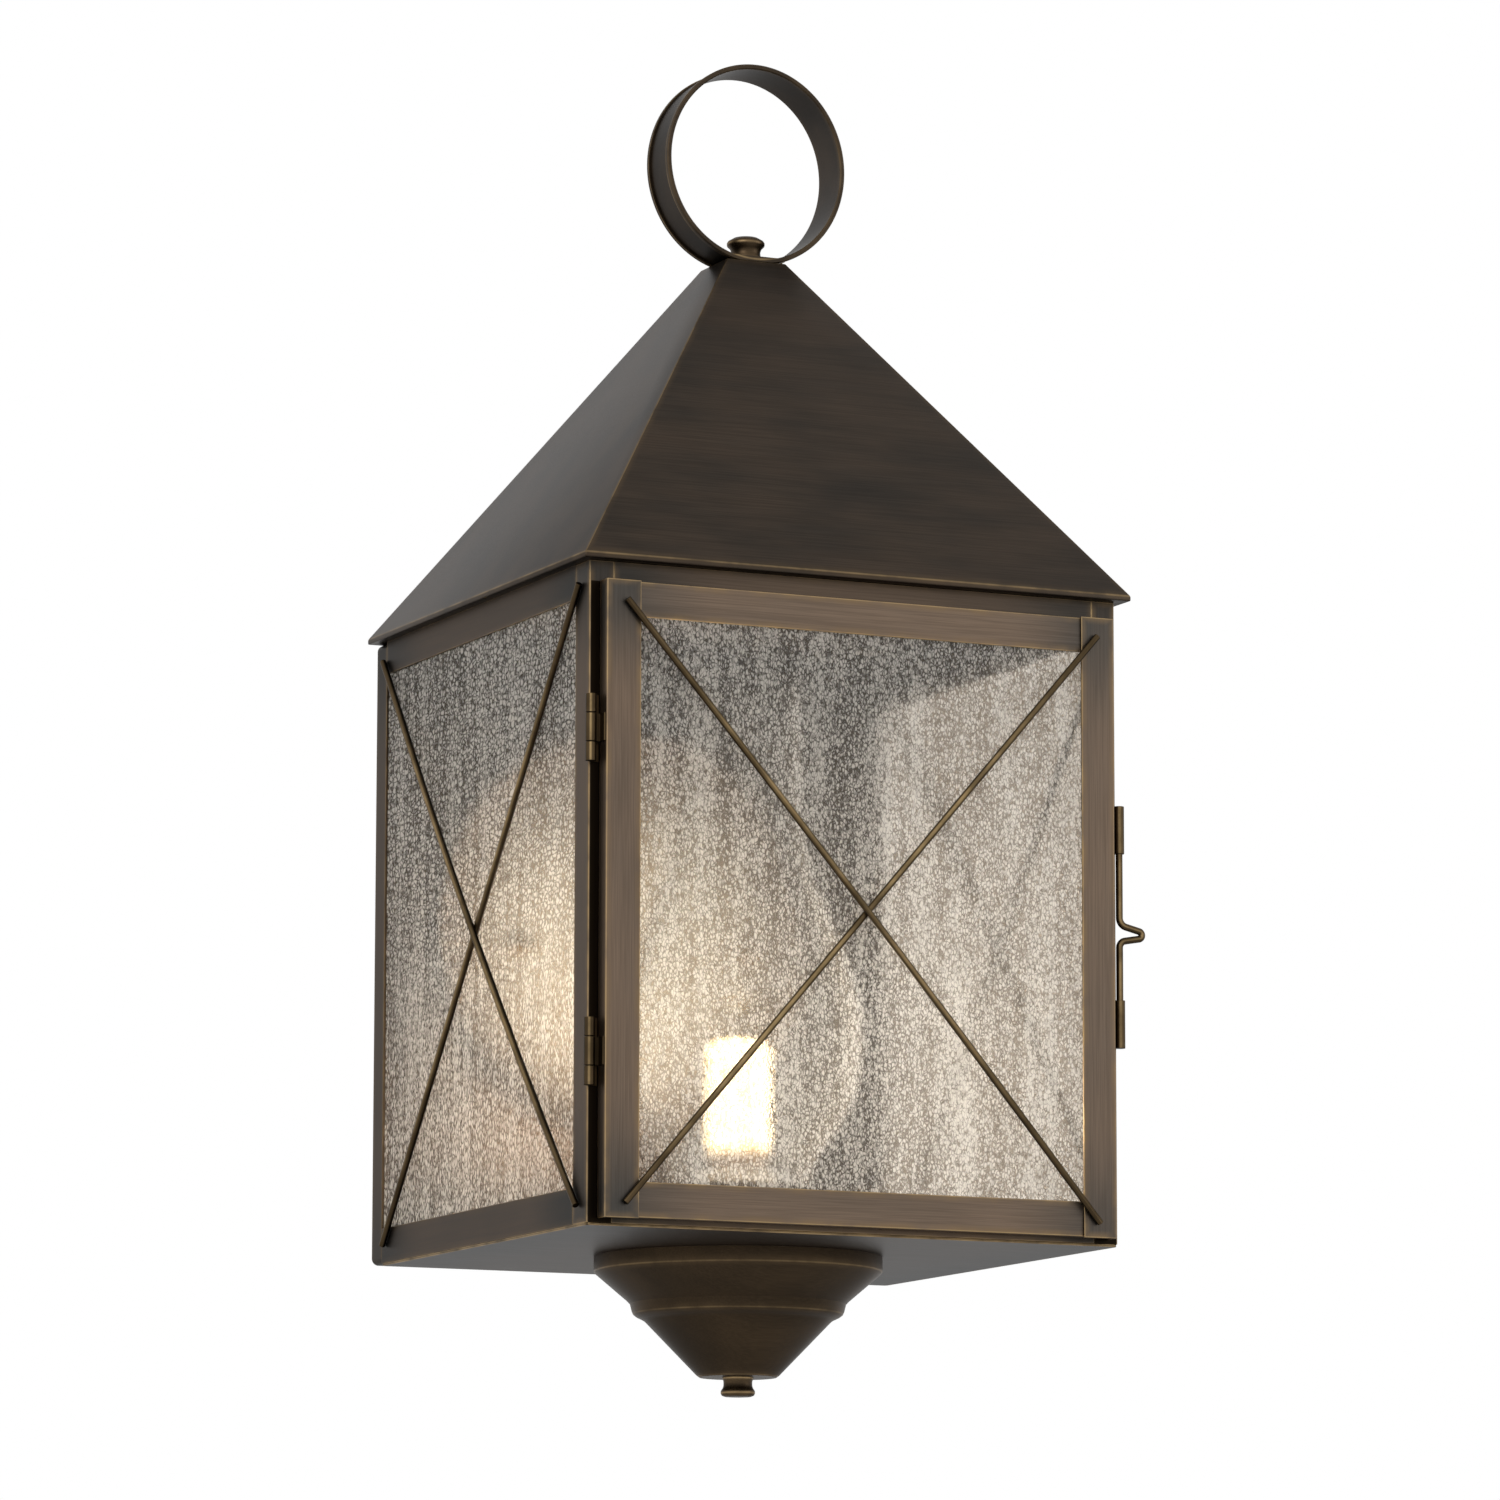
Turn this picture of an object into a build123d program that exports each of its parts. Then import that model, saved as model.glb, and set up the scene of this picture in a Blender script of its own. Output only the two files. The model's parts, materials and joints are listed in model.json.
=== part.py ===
from build123d import *
from math import cos, radians, sin
import os

os.makedirs("parts", exist_ok=True)

# Square bronze wall lantern with a hinged glass door, a hip roof and a spun canopy below.
# Heights are above the underside of the body, depths are from the wall.
# The frame's origin is in the middle of the wall bracket, on the wall.

# Body
body_width = 280.0
body_depth = 271.0
body_height = 315.0
bracket_height = 165.0
sheet = 1.2

# Back pan
pan_depth = 13.0
pan_corner_radius = 3.5

# Corner posts, side rails, header and sill
post_front_width = 12.7
post_side_width = 16.4
post_bend_radius = 0.9
top_rail_height = 16.7
bottom_rail_height = 17.5
header_height = 12.7
sill_height = 12.7
rail_flange = 10.0

# Bottom plate
bottom_thickness = 1.2
bottom_corner_radius = 2.5

# Window glass and its bent clips
glass_thickness = 3.0
glass_overlap = 6.0
clip_thickness = 0.8
clip_width = 8.0
clip_foot = 5.0
clip_lip = 4.0
clip_inset = 45.0

# Crossed rods on the windows
rod_diameter = 3.2
rod_clearance = 0.1
side_rod_front_depth = 262.3
side_rod_back_depth = 12.0
side_rod_foot_depth = 18.0
side_rod_low = 8.5
side_rod_high = 304.7
door_rod_reach = 125.0
door_rod_low = 8.9
door_rod_high = 295.6

# Roof
roof_side_overhang = 5.4
roof_front_overhang = 7.5
roof_rise = 181.5
roof_flat = 32.0
roof_sheet = 1.0
eave_lip = 2.5
eave_hem = 14.0
roof_screw_diameter = 3.0
roof_screw_head_diameter = 6.4
roof_screw_head_height = 1.8
roof_screw_inset = 5.8
roof_screw_spacing = 150.0
screw_hole_clearance = 0.1

# Ring and the knob that holds it
ring_width = 97.8
ring_height = 102.4
ring_band = 26.0
ring_forward_shift = 2.95
ring_thickness = 2.5
ring_rim_width = 2.6
ring_rim_step = 1.2
ring_flat_drop = 1.5
stud_diameter = 6.0
stud_hole_clearance = 0.2
stud_below_roof = 9.0
stud_in_knob = 7.0
roof_washer_diameter = 18.0
roof_washer_thickness = 1.2
roof_nut_width = 10.0
roof_nut_height = 5.0
knob_base_diameter = 16.6
knob_neck_diameter = 14.6
knob_head_diameter = 19.0
knob_crown_diameter = 6.0
knob_crown_fullness = 0.75
knob_foot_height = 0.9
knob_flare_height = 7.6
knob_edge_height = 9.2
knob_height = 12.2

# Canopy below the body, and its finial
lamp_depth = 135.5
canopy_sheet = 1.0
canopy_rim_diameter = 142.2
canopy_rim_height = 7.4
canopy_shoulder_diameter = 107.4
canopy_shoulder_drop = 22.4
canopy_step_diameter = 103.6
canopy_step_drop = 28.2
canopy_lower_diameter = 92.6
canopy_lower_drop = 31.0
canopy_end_diameter = 38.8
canopy_drop = 58.9
finial_collar_diameter = 15.2
finial_neck_diameter = 14.1
finial_head_diameter = 16.9
finial_height = 9.4
finial_collar_height = 0.8
finial_neck_drop = 3.0
finial_head_drop = 6.2
finial_end_radius = 1.8
finial_bore_depth = 6.0

# Threaded tube through the bottom plate, with its nuts
nipple_diameter = 9.6
nipple_bore_diameter = 6.2
nipple_hole_clearance = 0.2
nipple_nut_width = 14.3
nipple_nut_height = 4.0
nipple_in_socket = 4.0

# Lamp socket and bulb
socket_diameter = 38.0
socket_floor = 4.0
socket_height = 36.0
socket_edge_radius = 1.5
shell_sheet = 0.8
bulb_base_diameter = 26.0
bulb_base_height = 25.0
bulb_base_bevel = 3.0
bulb_contact_diameter = 9.0
bulb_contact_height = 2.0
bulb_diameter = 31.0
bulb_height = 70.0
bulb_corner_radius = 8.0
bulb_wall = 1.0
bulb_neck_diameter = 24.0
bulb_shoulder_height = 14.0
bulb_stem_diameter = 9.0
bulb_stem_height = 14.0
bulb_stem_taper = 8.0
filament_sink = 1.0
filament_diameter = 1.4
filament_spread = 8.0
filament_height = 44.0
filament_count = 4

# Chimney glass and the gallery that carries it
gallery_sheet = 0.8
gallery_hub_diameter = 42.0
gallery_cup_diameter = 60.0
gallery_cup_low = 13.5
gallery_seat_height = 27.0
gallery_seat_diameter = 74.0
gallery_lip_height = 5.0
chimney_wall = 2.0
chimney_base_diameter = 70.0
chimney_height = 257.0
chimney_bulge_diameter = 122.0
chimney_bulge_height = 83.0
chimney_neck_diameter = 61.0
chimney_rim_diameter = 62.0
chimney_rings = 20
# Shares of the way up from foot to bulge, with the share of the radius gained there
chimney_bulge_shape = ((0.14, 0.0), (0.39, 0.48), (0.54, 0.79), (0.71, 0.95))
# Shares of the way up from bulge to rim, with the share of the bulge left over the neck there
chimney_neck_shape = ((0.12, 0.9), (0.3, 0.56), (0.42, 0.26), (0.56, 0.07), (0.78, 0.0))

# Reflector on the back wall
reflector_diameter = 206.0
reflector_sheet = 0.6
reflector_rim_width = 15.0
reflector_rim_rise = 5.0
reflector_side_shift = -8.0
reflector_centre_height = 172.0
reflector_rivet_diameter = 3.2
reflector_rivet_head_diameter = 6.0
reflector_rivet_head_height = 1.4
reflector_rivet_spacing = 150.0

# Door
door_side_gap = 5.2
door_bottom_gap = 2.0
door_top_gap = 9.9
door_back_gap = 0.5
door_thickness = 8.8
door_stile_width = 17.7
door_top_rail_height = 17.4
door_bottom_rail_height = 17.3
door_rail_trim = 0.5

# Hinges at the left front corner
hinge_barrel_diameter = 5.2
hinge_pin_diameter = 2.4
hinge_length = 32.0
hinge_middle_knuckle = 13.4
hinge_knuckle_gap = 0.5
hinge_outset = 0.2
hinge_stand_off = 3.0
hinge_leaf_thickness = 0.8
hinge_leaf_edge_gap = 0.4
hinge_leaf_notch_gap = 0.4
door_leaf_thickness = 1.0
door_leaf_depth = 7.0
hinge_heights = (80.2, 234.0)
pin_running_clearance = 0.06

# Latch at the right front corner
latch_barrel_diameter = 5.1
latch_barrel_length = 23.4
latch_barrel_cap = 1.0
latch_barrel_outset = 0.5
latch_barrel_heights = (106.8, 202.0)
latch_wire_diameter = 3.4
latch_kink_height = 151.0
latch_kink_reach = 12.2
latch_kink_rise = 4.5
latch_kink_fall = 3.7
latch_tip_half_gap = 1.55
latch_upper_bend_radius = 4.5
latch_lower_bend_radius = 3.5
latch_tip_bend_radius = 1.85
latch_foot_width = 2.4
latch_end_gap = 0.4

# Wall bracket and fixings
bracket_length = 150.0
bracket_width = 20.0
bracket_thickness = 2.0
bracket_corner_radius = 5.0
box_screw_spacing = 88.9
box_slot_length = 14.0
box_slot_width = 4.6
mounting_stud_spacing = 127.0
mounting_stud_diameter = 4.0
mounting_stud_hole_clearance = 0.3
cap_nut_width = 8.0
cap_nut_height = 5.0
cap_nut_bevel = 1.0
stud_in_cap_nut = 2.5
mounting_washer_diameter = 10.0
mounting_washer_thickness = 1.0
ground_screw_offset = 20.0
ground_screw_diameter = 3.5
ground_screw_head_diameter = 7.0
ground_screw_head_height = 2.2
ground_screw_slot_width = 0.9
ground_screw_slot_depth = 1.1
bushing_height = 9.0
bushing_hole_diameter = 9.0
bushing_bore_diameter = 6.0
bushing_flange_diameter = 13.0
bushing_flange_thickness = 1.2
plate_bushing_offset = 34.0

# Space between pieces that move apart
moving_gap = 0.4

# Places worked out from the sizes above
half_width = body_width / 2
roof_width = body_width + 2 * roof_side_overhang
roof_depth = body_depth + roof_front_overhang
roof_centre_depth = roof_depth / 2
ring_depth = roof_centre_depth + ring_forward_shift
roof_top_height = body_height + roof_rise
window_front_depth = body_depth - post_side_width
door_back_depth = body_depth + door_back_gap
door_front_depth = door_back_depth + door_thickness
door_half_width = half_width - door_side_gap
door_top = body_height - door_top_gap
door_height = door_top - door_bottom_gap
door_web_depth = door_front_depth - sheet
door_glass_depth = door_web_depth - sheet - glass_thickness
hinge_x = -half_width - hinge_outset
hinge_depth = body_depth + hinge_stand_off
latch_x = half_width + latch_barrel_outset
latch_depth = body_depth + latch_barrel_diameter / 2
bottom_underside = -bottom_thickness
chimney_base_height = gallery_seat_height + gallery_sheet + moving_gap


def level(height):
    """Horizontal plane at a height above the underside of the body."""
    return Plane.XY.offset(height - bracket_height)


def upright(depth):
    """Plane parallel to the wall: its x is X, its y is the height, its normal points away from the wall."""
    return Plane(origin=(0, -depth, -bracket_height), x_dir=(1, 0, 0), z_dir=(0, -1, 0))


def flank(x):
    """Plane parallel to the left side: its x is the depth, its y is the height, its normal points left."""
    return Plane(origin=(x, 0, -bracket_height), x_dir=(0, -1, 0), z_dir=(-1, 0, 0))


def vertical_axis(x, depth):
    return Axis((x, -depth, 0), (0, 0, 1))


def export_pair(left, name):
    """Writes a left-hand piece and its mirror image."""
    left.part.label = f"{name}_left"
    export_step(left.part, f"parts/{name}_left.step")
    with BuildPart() as right:
        mirror(left.part, about=Plane.YZ)
    right.part.label = f"{name}_right"
    export_step(right.part, f"parts/{name}_right.step")


# Back pan: a shallow tray, open towards the wall
stud_places = [(side * mounting_stud_spacing / 2, bracket_height) for side in (-1, 1)]
rivet_places = [
    (reflector_side_shift, reflector_centre_height + side * reflector_rivet_spacing / 2) for side in (-1, 1)
]
with BuildPart() as back_pan:
    with BuildSketch(upright(0)):
        with Locations((0, body_height / 2)):
            RectangleRounded(body_width, body_height, pan_corner_radius)
    extrude(amount=pan_depth)
    with BuildSketch(upright(0)):
        with Locations((0, body_height / 2)):
            RectangleRounded(body_width - 2 * sheet, body_height - 2 * sheet, pan_corner_radius - sheet)
    extrude(amount=pan_depth - sheet, mode=Mode.SUBTRACT)
    with BuildSketch(upright(0)):
        with Locations(*stud_places):
            Circle(mounting_stud_diameter / 2 + mounting_stud_hole_clearance)
        with Locations(*rivet_places):
            Circle(reflector_rivet_diameter / 2)
        with Locations((0, bushing_height)):
            Circle(bushing_hole_diameter / 2)
    extrude(amount=pan_depth, mode=Mode.SUBTRACT)
back_pan.part.label = "back_pan"
export_step(back_pan.part, "parts/back_pan.step")

# Wall bracket, slotted for the screws of a junction box
with BuildPart() as wall_bracket:
    with BuildSketch(upright(0)):
        with Locations((0, bracket_height)):
            RectangleRounded(bracket_length, bracket_width, bracket_corner_radius)
            with GridLocations(box_screw_spacing, 0, 2, 1):
                SlotOverall(box_slot_length, box_slot_width, mode=Mode.SUBTRACT)
            with GridLocations(mounting_stud_spacing, 0, 2, 1):
                Circle(mounting_stud_diameter / 2, mode=Mode.SUBTRACT)
            with Locations((ground_screw_offset, 0)):
                Circle(ground_screw_diameter / 2, mode=Mode.SUBTRACT)
    extrude(amount=bracket_thickness)
wall_bracket.part.label = "wall_bracket"
export_step(wall_bracket.part, "parts/wall_bracket.step")

with BuildPart() as ground_screw:
    with BuildSketch(upright(0)):
        with Locations((ground_screw_offset, bracket_height)):
            Circle(ground_screw_diameter / 2)
    extrude(amount=bracket_thickness)
    with BuildSketch(upright(bracket_thickness)):
        with Locations((ground_screw_offset, bracket_height)):
            Circle(ground_screw_head_diameter / 2)
    extrude(amount=ground_screw_head_height)
    with BuildSketch(upright(bracket_thickness + ground_screw_head_height)):
        with Locations((ground_screw_offset, bracket_height)):
            Rectangle(ground_screw_head_diameter, ground_screw_slot_width)
    extrude(amount=-ground_screw_slot_depth, mode=Mode.SUBTRACT)
ground_screw.part.label = "ground_screw"
export_step(ground_screw.part, "parts/ground_screw.step")

# Studs from the bracket through the pan and the reflector, closed by washers and cap nuts
stud_seat_depth = pan_depth + reflector_sheet
stud_length = stud_seat_depth + mounting_washer_thickness + stud_in_cap_nut
with BuildPart() as mounting_studs:
    with BuildSketch(upright(0)):
        with Locations(*stud_places):
            Circle(mounting_stud_diameter / 2)
    extrude(amount=stud_length)
mounting_studs.part.label = "mounting_studs"
export_step(mounting_studs.part, "parts/mounting_studs.step")

with BuildPart() as cap_nuts:
    with BuildSketch(upright(stud_seat_depth)):
        with Locations(*stud_places):
            Circle(mounting_washer_diameter / 2)
    extrude(amount=mounting_washer_thickness)
    with BuildSketch(upright(stud_seat_depth + mounting_washer_thickness)):
        with Locations(*stud_places):
            RegularPolygon(cap_nut_width / 2, 6, major_radius=False)
    extrude(amount=cap_nut_height)
    chamfer(cap_nuts.faces().sort_by(Axis.Y)[:2].edges(), length=cap_nut_bevel)
    with BuildSketch(upright(0)):
        with Locations(*stud_places):
            Circle(mounting_stud_diameter / 2)
    extrude(amount=stud_length, mode=Mode.SUBTRACT)
cap_nuts.part.label = "cap_nuts"
export_step(cap_nuts.part, "parts/cap_nuts.step")

# Bushings for the supply leads: one in the pan, one in the bottom plate
with BuildPart() as wire_bushings:
    with BuildSketch(upright(pan_depth)):
        with Locations((0, bushing_height)):
            Circle(bushing_flange_diameter / 2)
    extrude(amount=bushing_flange_thickness)
    with BuildSketch(upright(pan_depth)):
        with Locations((0, bushing_height)):
            Circle(bushing_hole_diameter / 2)
    extrude(amount=-sheet)
    with BuildSketch(upright(pan_depth + bushing_flange_thickness)):
        with Locations((0, bushing_height)):
            Circle(bushing_bore_diameter / 2)
    extrude(amount=-sheet - bushing_flange_thickness, mode=Mode.SUBTRACT)
    with BuildSketch(level(0)):
        with Locations((0, -lamp_depth + plate_bushing_offset)):
            Circle(bushing_flange_diameter / 2)
    extrude(amount=bushing_flange_thickness)
    with BuildSketch(level(0)):
        with Locations((0, -lamp_depth + plate_bushing_offset)):
            Circle(bushing_hole_diameter / 2)
    extrude(amount=-bottom_thickness)
    with BuildSketch(level(bushing_flange_thickness)):
        with Locations((0, -lamp_depth + plate_bushing_offset)):
            Circle(bushing_bore_diameter / 2)
    extrude(amount=-bottom_thickness - bushing_flange_thickness, mode=Mode.SUBTRACT)
wire_bushings.part.label = "wire_bushings"
export_step(wire_bushings.part, "parts/wire_bushings.step")

# Reflector: a round dish with a raised rim, riveted to the pan
reflector_plane = Plane(
    origin=(reflector_side_shift, -pan_depth, reflector_centre_height - bracket_height),
    x_dir=(1, 0, 0),
    z_dir=(0, 0, 1),
)
reflector_axis = Axis((reflector_side_shift, 0, reflector_centre_height - bracket_height), (0, 1, 0))
reflector_radius = reflector_diameter / 2
with BuildPart() as reflector:
    with BuildSketch(reflector_plane):
        with BuildLine():
            Polyline(
                (0, 0),
                (reflector_radius - reflector_rim_width, 0),
                (reflector_radius, -reflector_rim_rise),
                (reflector_radius, -reflector_rim_rise - reflector_sheet),
                (reflector_radius - reflector_rim_width, -reflector_sheet),
                (0, -reflector_sheet),
                close=True,
            )
        make_face()
    revolve(axis=reflector_axis)
    with BuildSketch(upright(pan_depth)):
        with Locations(*stud_places):
            Circle(mounting_stud_diameter / 2 + mounting_stud_hole_clearance)
        with Locations(*rivet_places):
            Circle(reflector_rivet_diameter / 2)
    extrude(amount=reflector_sheet, mode=Mode.SUBTRACT)
reflector.part.label = "reflector"
export_step(reflector.part, "parts/reflector.step")

with BuildPart() as reflector_rivets:
    with BuildSketch(upright(pan_depth - sheet)):
        with Locations(*rivet_places):
            Circle(reflector_rivet_diameter / 2)
    extrude(amount=sheet + reflector_sheet)
    with BuildSketch(upright(pan_depth + reflector_sheet)):
        with Locations(*rivet_places):
            Circle(reflector_rivet_head_diameter / 2)
    extrude(amount=reflector_rivet_head_height)
reflector_rivets.part.label = "reflector_rivets"
export_step(reflector_rivets.part, "parts/reflector_rivets.step")

# Corner posts: bent angles, open towards the inside
with BuildPart() as post:
    with BuildSketch(level(0)):
        with BuildLine():
            Polyline(
                (-half_width, -body_depth),
                (-half_width + post_front_width, -body_depth),
                (-half_width + post_front_width, -body_depth + sheet),
                (-half_width + sheet, -body_depth + sheet),
                (-half_width + sheet, -body_depth + post_side_width),
                (-half_width, -body_depth + post_side_width),
                close=True,
            )
        make_face()
    extrude(amount=body_height)
    fillet(post.edges().filter_by(Axis.Z).group_by(Axis.X)[0].sort_by(Axis.Y)[0], post_bend_radius)
export_pair(post, "post")

# Side rails: angles whose flanges point into the body
roof_screw_depths = [roof_centre_depth + side * roof_screw_spacing / 2 for side in (-1, 1)]
roof_screw_places = [
    (side * (half_width - roof_screw_inset), -depth) for side in (-1, 1) for depth in roof_screw_depths
]
with BuildPart() as rail_top:
    with BuildSketch(upright(pan_depth)):
        with BuildLine():
            Polyline(
                (-half_width, body_height),
                (-half_width + rail_flange, body_height),
                (-half_width + rail_flange, body_height - sheet),
                (-half_width + sheet, body_height - sheet),
                (-half_width + sheet, body_height - top_rail_height),
                (-half_width, body_height - top_rail_height),
                close=True,
            )
        make_face()
    extrude(amount=window_front_depth - pan_depth)
    with BuildSketch(level(body_height)):
        with Locations(*roof_screw_places[:2]):
            Circle(roof_screw_diameter / 2 + screw_hole_clearance)
    extrude(amount=-sheet, mode=Mode.SUBTRACT)
export_pair(rail_top, "rail_top")

with BuildPart() as rail_bottom:
    with BuildSketch(upright(pan_depth)):
        with BuildLine():
            Polyline(
                (-half_width, 0),
                (-half_width + rail_flange, 0),
                (-half_width + rail_flange, sheet),
                (-half_width + sheet, sheet),
                (-half_width + sheet, bottom_rail_height),
                (-half_width, bottom_rail_height),
                close=True,
            )
        make_face()
    extrude(amount=window_front_depth - pan_depth)
export_pair(rail_bottom, "rail_bottom")

# Header and sill between the posts, above and below the door opening
front_gap = body_width - 2 * post_front_width
with BuildPart() as header_front:
    with BuildSketch(flank(-front_gap / 2)):
        with BuildLine():
            Polyline(
                (body_depth, body_height),
                (body_depth, body_height - header_height),
                (body_depth - sheet, body_height - header_height),
                (body_depth - sheet, body_height - sheet),
                (body_depth - rail_flange, body_height - sheet),
                (body_depth - rail_flange, body_height),
                close=True,
            )
        make_face()
    extrude(amount=-front_gap)
header_front.part.label = "header_front"
export_step(header_front.part, "parts/header_front.step")

with BuildPart() as sill_front:
    with BuildSketch(flank(-front_gap / 2)):
        with BuildLine():
            Polyline(
                (body_depth, 0),
                (body_depth, sill_height),
                (body_depth - sheet, sill_height),
                (body_depth - sheet, sheet),
                (body_depth - rail_flange, sheet),
                (body_depth - rail_flange, 0),
                close=True,
            )
        make_face()
    extrude(amount=-front_gap)
sill_front.part.label = "sill_front"
export_step(sill_front.part, "parts/sill_front.step")

# Bottom plate
plate_depth = body_depth - pan_depth
with BuildPart() as bottom_plate:
    with BuildSketch(level(0)):
        with Locations((0, -pan_depth - plate_depth / 2)):
            RectangleRounded(body_width, plate_depth, bottom_corner_radius)
        with Locations((0, -lamp_depth)):
            Circle(nipple_diameter / 2 + nipple_hole_clearance, mode=Mode.SUBTRACT)
        with Locations((0, -lamp_depth + plate_bushing_offset)):
            Circle(bushing_hole_diameter / 2, mode=Mode.SUBTRACT)
    extrude(amount=-bottom_thickness)
bottom_plate.part.label = "bottom_plate"
export_step(bottom_plate.part, "parts/bottom_plate.step")

# Side windows: a pane behind the rails, held by bent clips
pane_back_depth = pan_depth + rod_clearance
pane_front_depth = window_front_depth + glass_overlap
pane_low = bottom_rail_height - glass_overlap
pane_high = body_height - top_rail_height + glass_overlap
with BuildPart() as side_glass:
    with BuildSketch(flank(-half_width + sheet)):
        with Locations(((pane_back_depth + pane_front_depth) / 2, (pane_low + pane_high) / 2)):
            Rectangle(pane_front_depth - pane_back_depth, pane_high - pane_low)
    extrude(amount=-glass_thickness)
export_pair(side_glass, "glass")


def clip_outline(inner, edge, turn):
    """Outline of a bent clip: foot on the metal at inner, step over the pane's edge, lip on the glass.

    The first coordinate goes away from the metal, the second is a height.
    turn is 1 for a clip above the pane and -1 for one below it."""
    over = inner + glass_thickness
    points = [
        (inner, edge + turn * (rod_clearance + clip_thickness + clip_foot)),
        (inner, edge + turn * rod_clearance),
        (over, edge + turn * rod_clearance),
        (over, edge - turn * clip_lip),
        (over + clip_thickness, edge - turn * clip_lip),
        (over + clip_thickness, edge + turn * (rod_clearance + clip_thickness)),
        (inner + clip_thickness, edge + turn * (rod_clearance + clip_thickness)),
        (inner + clip_thickness, edge + turn * (rod_clearance + clip_thickness + clip_foot)),
    ]
    return points


clip_depths = (pan_depth + clip_inset, window_front_depth - clip_inset)
with BuildPart() as side_clips:
    for clip_depth in clip_depths:
        with BuildSketch(upright(clip_depth - clip_width / 2)):
            with BuildLine():
                Polyline(*clip_outline(-half_width + sheet, pane_high, 1), close=True)
            make_face()
            with BuildLine():
                Polyline(*clip_outline(-half_width + sheet, pane_low, -1), close=True)
            make_face()
        extrude(amount=clip_width)
export_pair(side_clips, "glass_clips")

# Crossed rods on the sides: one lies on the rails, the other bows over it at the crossing
rod_radius = rod_diameter / 2
side_rod_x = half_width + rod_radius + rod_clearance
rod_bow = rod_diameter + rod_clearance


def place(x, depth, height):
    return (x, -depth, height - bracket_height)


with BuildPart() as side_rod_inner:
    with BuildLine():
        inner_path = Line(
            place(-side_rod_x, side_rod_front_depth, side_rod_high),
            place(-side_rod_x, side_rod_foot_depth, side_rod_low),
        )
    with BuildSketch(Plane(origin=inner_path @ 0, z_dir=inner_path % 0)):
        Circle(rod_radius)
    sweep(path=inner_path)
export_pair(side_rod_inner, "rod_inner")

with BuildPart() as side_rod_outer:
    with BuildLine():
        outer_path = ThreePointArc(
            place(-side_rod_x, side_rod_back_depth, side_rod_high),
            place(
                -side_rod_x - rod_bow,
                (side_rod_back_depth + side_rod_front_depth) / 2,
                (side_rod_low + side_rod_high) / 2,
            ),
            place(-side_rod_x, side_rod_front_depth, side_rod_low),
        )
    with BuildSketch(Plane(origin=outer_path @ 0, z_dir=outer_path % 0)):
        Circle(rod_radius)
    sweep(path=outer_path)
export_pair(side_rod_outer, "rod_outer")

# Roof: four panels mitred at the hips and a small flat top, with a lip at the eaves and a hem turned inwards
lip_height = body_height + eave_lip
side_run = (roof_width - roof_flat) / 2
front_run = (roof_depth - roof_flat) / 2
slope_rise = roof_rise - eave_lip
side_wall = roof_sheet * (1 + (side_run / slope_rise) ** 2) ** 0.5
front_wall = roof_sheet * (1 + (front_run / slope_rise) ** 2) ** 0.5
inner_flat_x = roof_flat + 2 * side_run * roof_sheet / slope_rise - 2 * side_wall
inner_flat_y = roof_flat + 2 * front_run * roof_sheet / slope_rise - 2 * front_wall
with BuildPart() as roof_shell:
    with BuildSketch(level(body_height)):
        with Locations((0, -roof_centre_depth)):
            Rectangle(roof_width, roof_depth)
    extrude(amount=eave_lip)
    with BuildSketch(level(lip_height)):
        with Locations((0, -roof_centre_depth)):
            Rectangle(roof_width, roof_depth)
    with BuildSketch(level(roof_top_height)):
        with Locations((0, -roof_centre_depth)):
            Rectangle(roof_flat, roof_flat)
    loft()
    with BuildSketch(level(body_height + roof_sheet)):
        with Locations((0, -roof_centre_depth)):
            Rectangle(roof_width - 2 * side_wall, roof_depth - 2 * front_wall)
    extrude(amount=eave_lip - roof_sheet, mode=Mode.SUBTRACT)
    with BuildSketch(level(lip_height)):
        with Locations((0, -roof_centre_depth)):
            Rectangle(roof_width - 2 * side_wall, roof_depth - 2 * front_wall)
    with BuildSketch(level(roof_top_height - roof_sheet)):
        with Locations((0, -roof_centre_depth)):
            Rectangle(inner_flat_x, inner_flat_y)
    loft(mode=Mode.SUBTRACT)
    with BuildSketch(level(body_height)):
        with Locations((0, -roof_centre_depth)):
            Rectangle(roof_width - 2 * eave_hem, roof_depth - 2 * eave_hem)
    extrude(amount=roof_sheet, mode=Mode.SUBTRACT)
    with BuildSketch(level(body_height)):
        with Locations(*roof_screw_places):
            Circle(roof_screw_diameter / 2 + screw_hole_clearance)
    extrude(amount=roof_sheet, mode=Mode.SUBTRACT)
    with BuildSketch(level(roof_top_height)):
        with Locations((0, -ring_depth)):
            Circle(stud_diameter / 2 + stud_hole_clearance)
    extrude(amount=-roof_sheet, mode=Mode.SUBTRACT)


def roof_panel(name, eave_left, eave_right, top_right, top_left):
    """Cuts one panel out of the roof's shell, with its outline seen from above, and writes it."""
    with BuildPart() as panel:
        add(roof_shell.part)
        with BuildSketch(level(body_height)):
            with BuildLine():
                Polyline(eave_left, eave_right, top_right, top_left, close=True)
            make_face()
        extrude(amount=roof_rise, mode=Mode.INTERSECT)
    panel.part.label = name
    export_step(panel.part, f"parts/{name}.step")


eave_corners = [
    (side_x * roof_width / 2, -roof_centre_depth + side_y * roof_depth / 2)
    for side_x, side_y in ((-1, -1), (1, -1), (1, 1), (-1, 1))
]
flat_corners = [
    (side_x * roof_flat / 2, -roof_centre_depth + side_y * roof_flat / 2)
    for side_x, side_y in ((-1, -1), (1, -1), (1, 1), (-1, 1))
]
for side, name in enumerate(("roof_panel_front", "roof_panel_right", "roof_panel_back", "roof_panel_left")):
    after = (side + 1) % 4
    roof_panel(name, eave_corners[side], eave_corners[after], flat_corners[after], flat_corners[side])
roof_panel("roof_top", *flat_corners)

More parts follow.
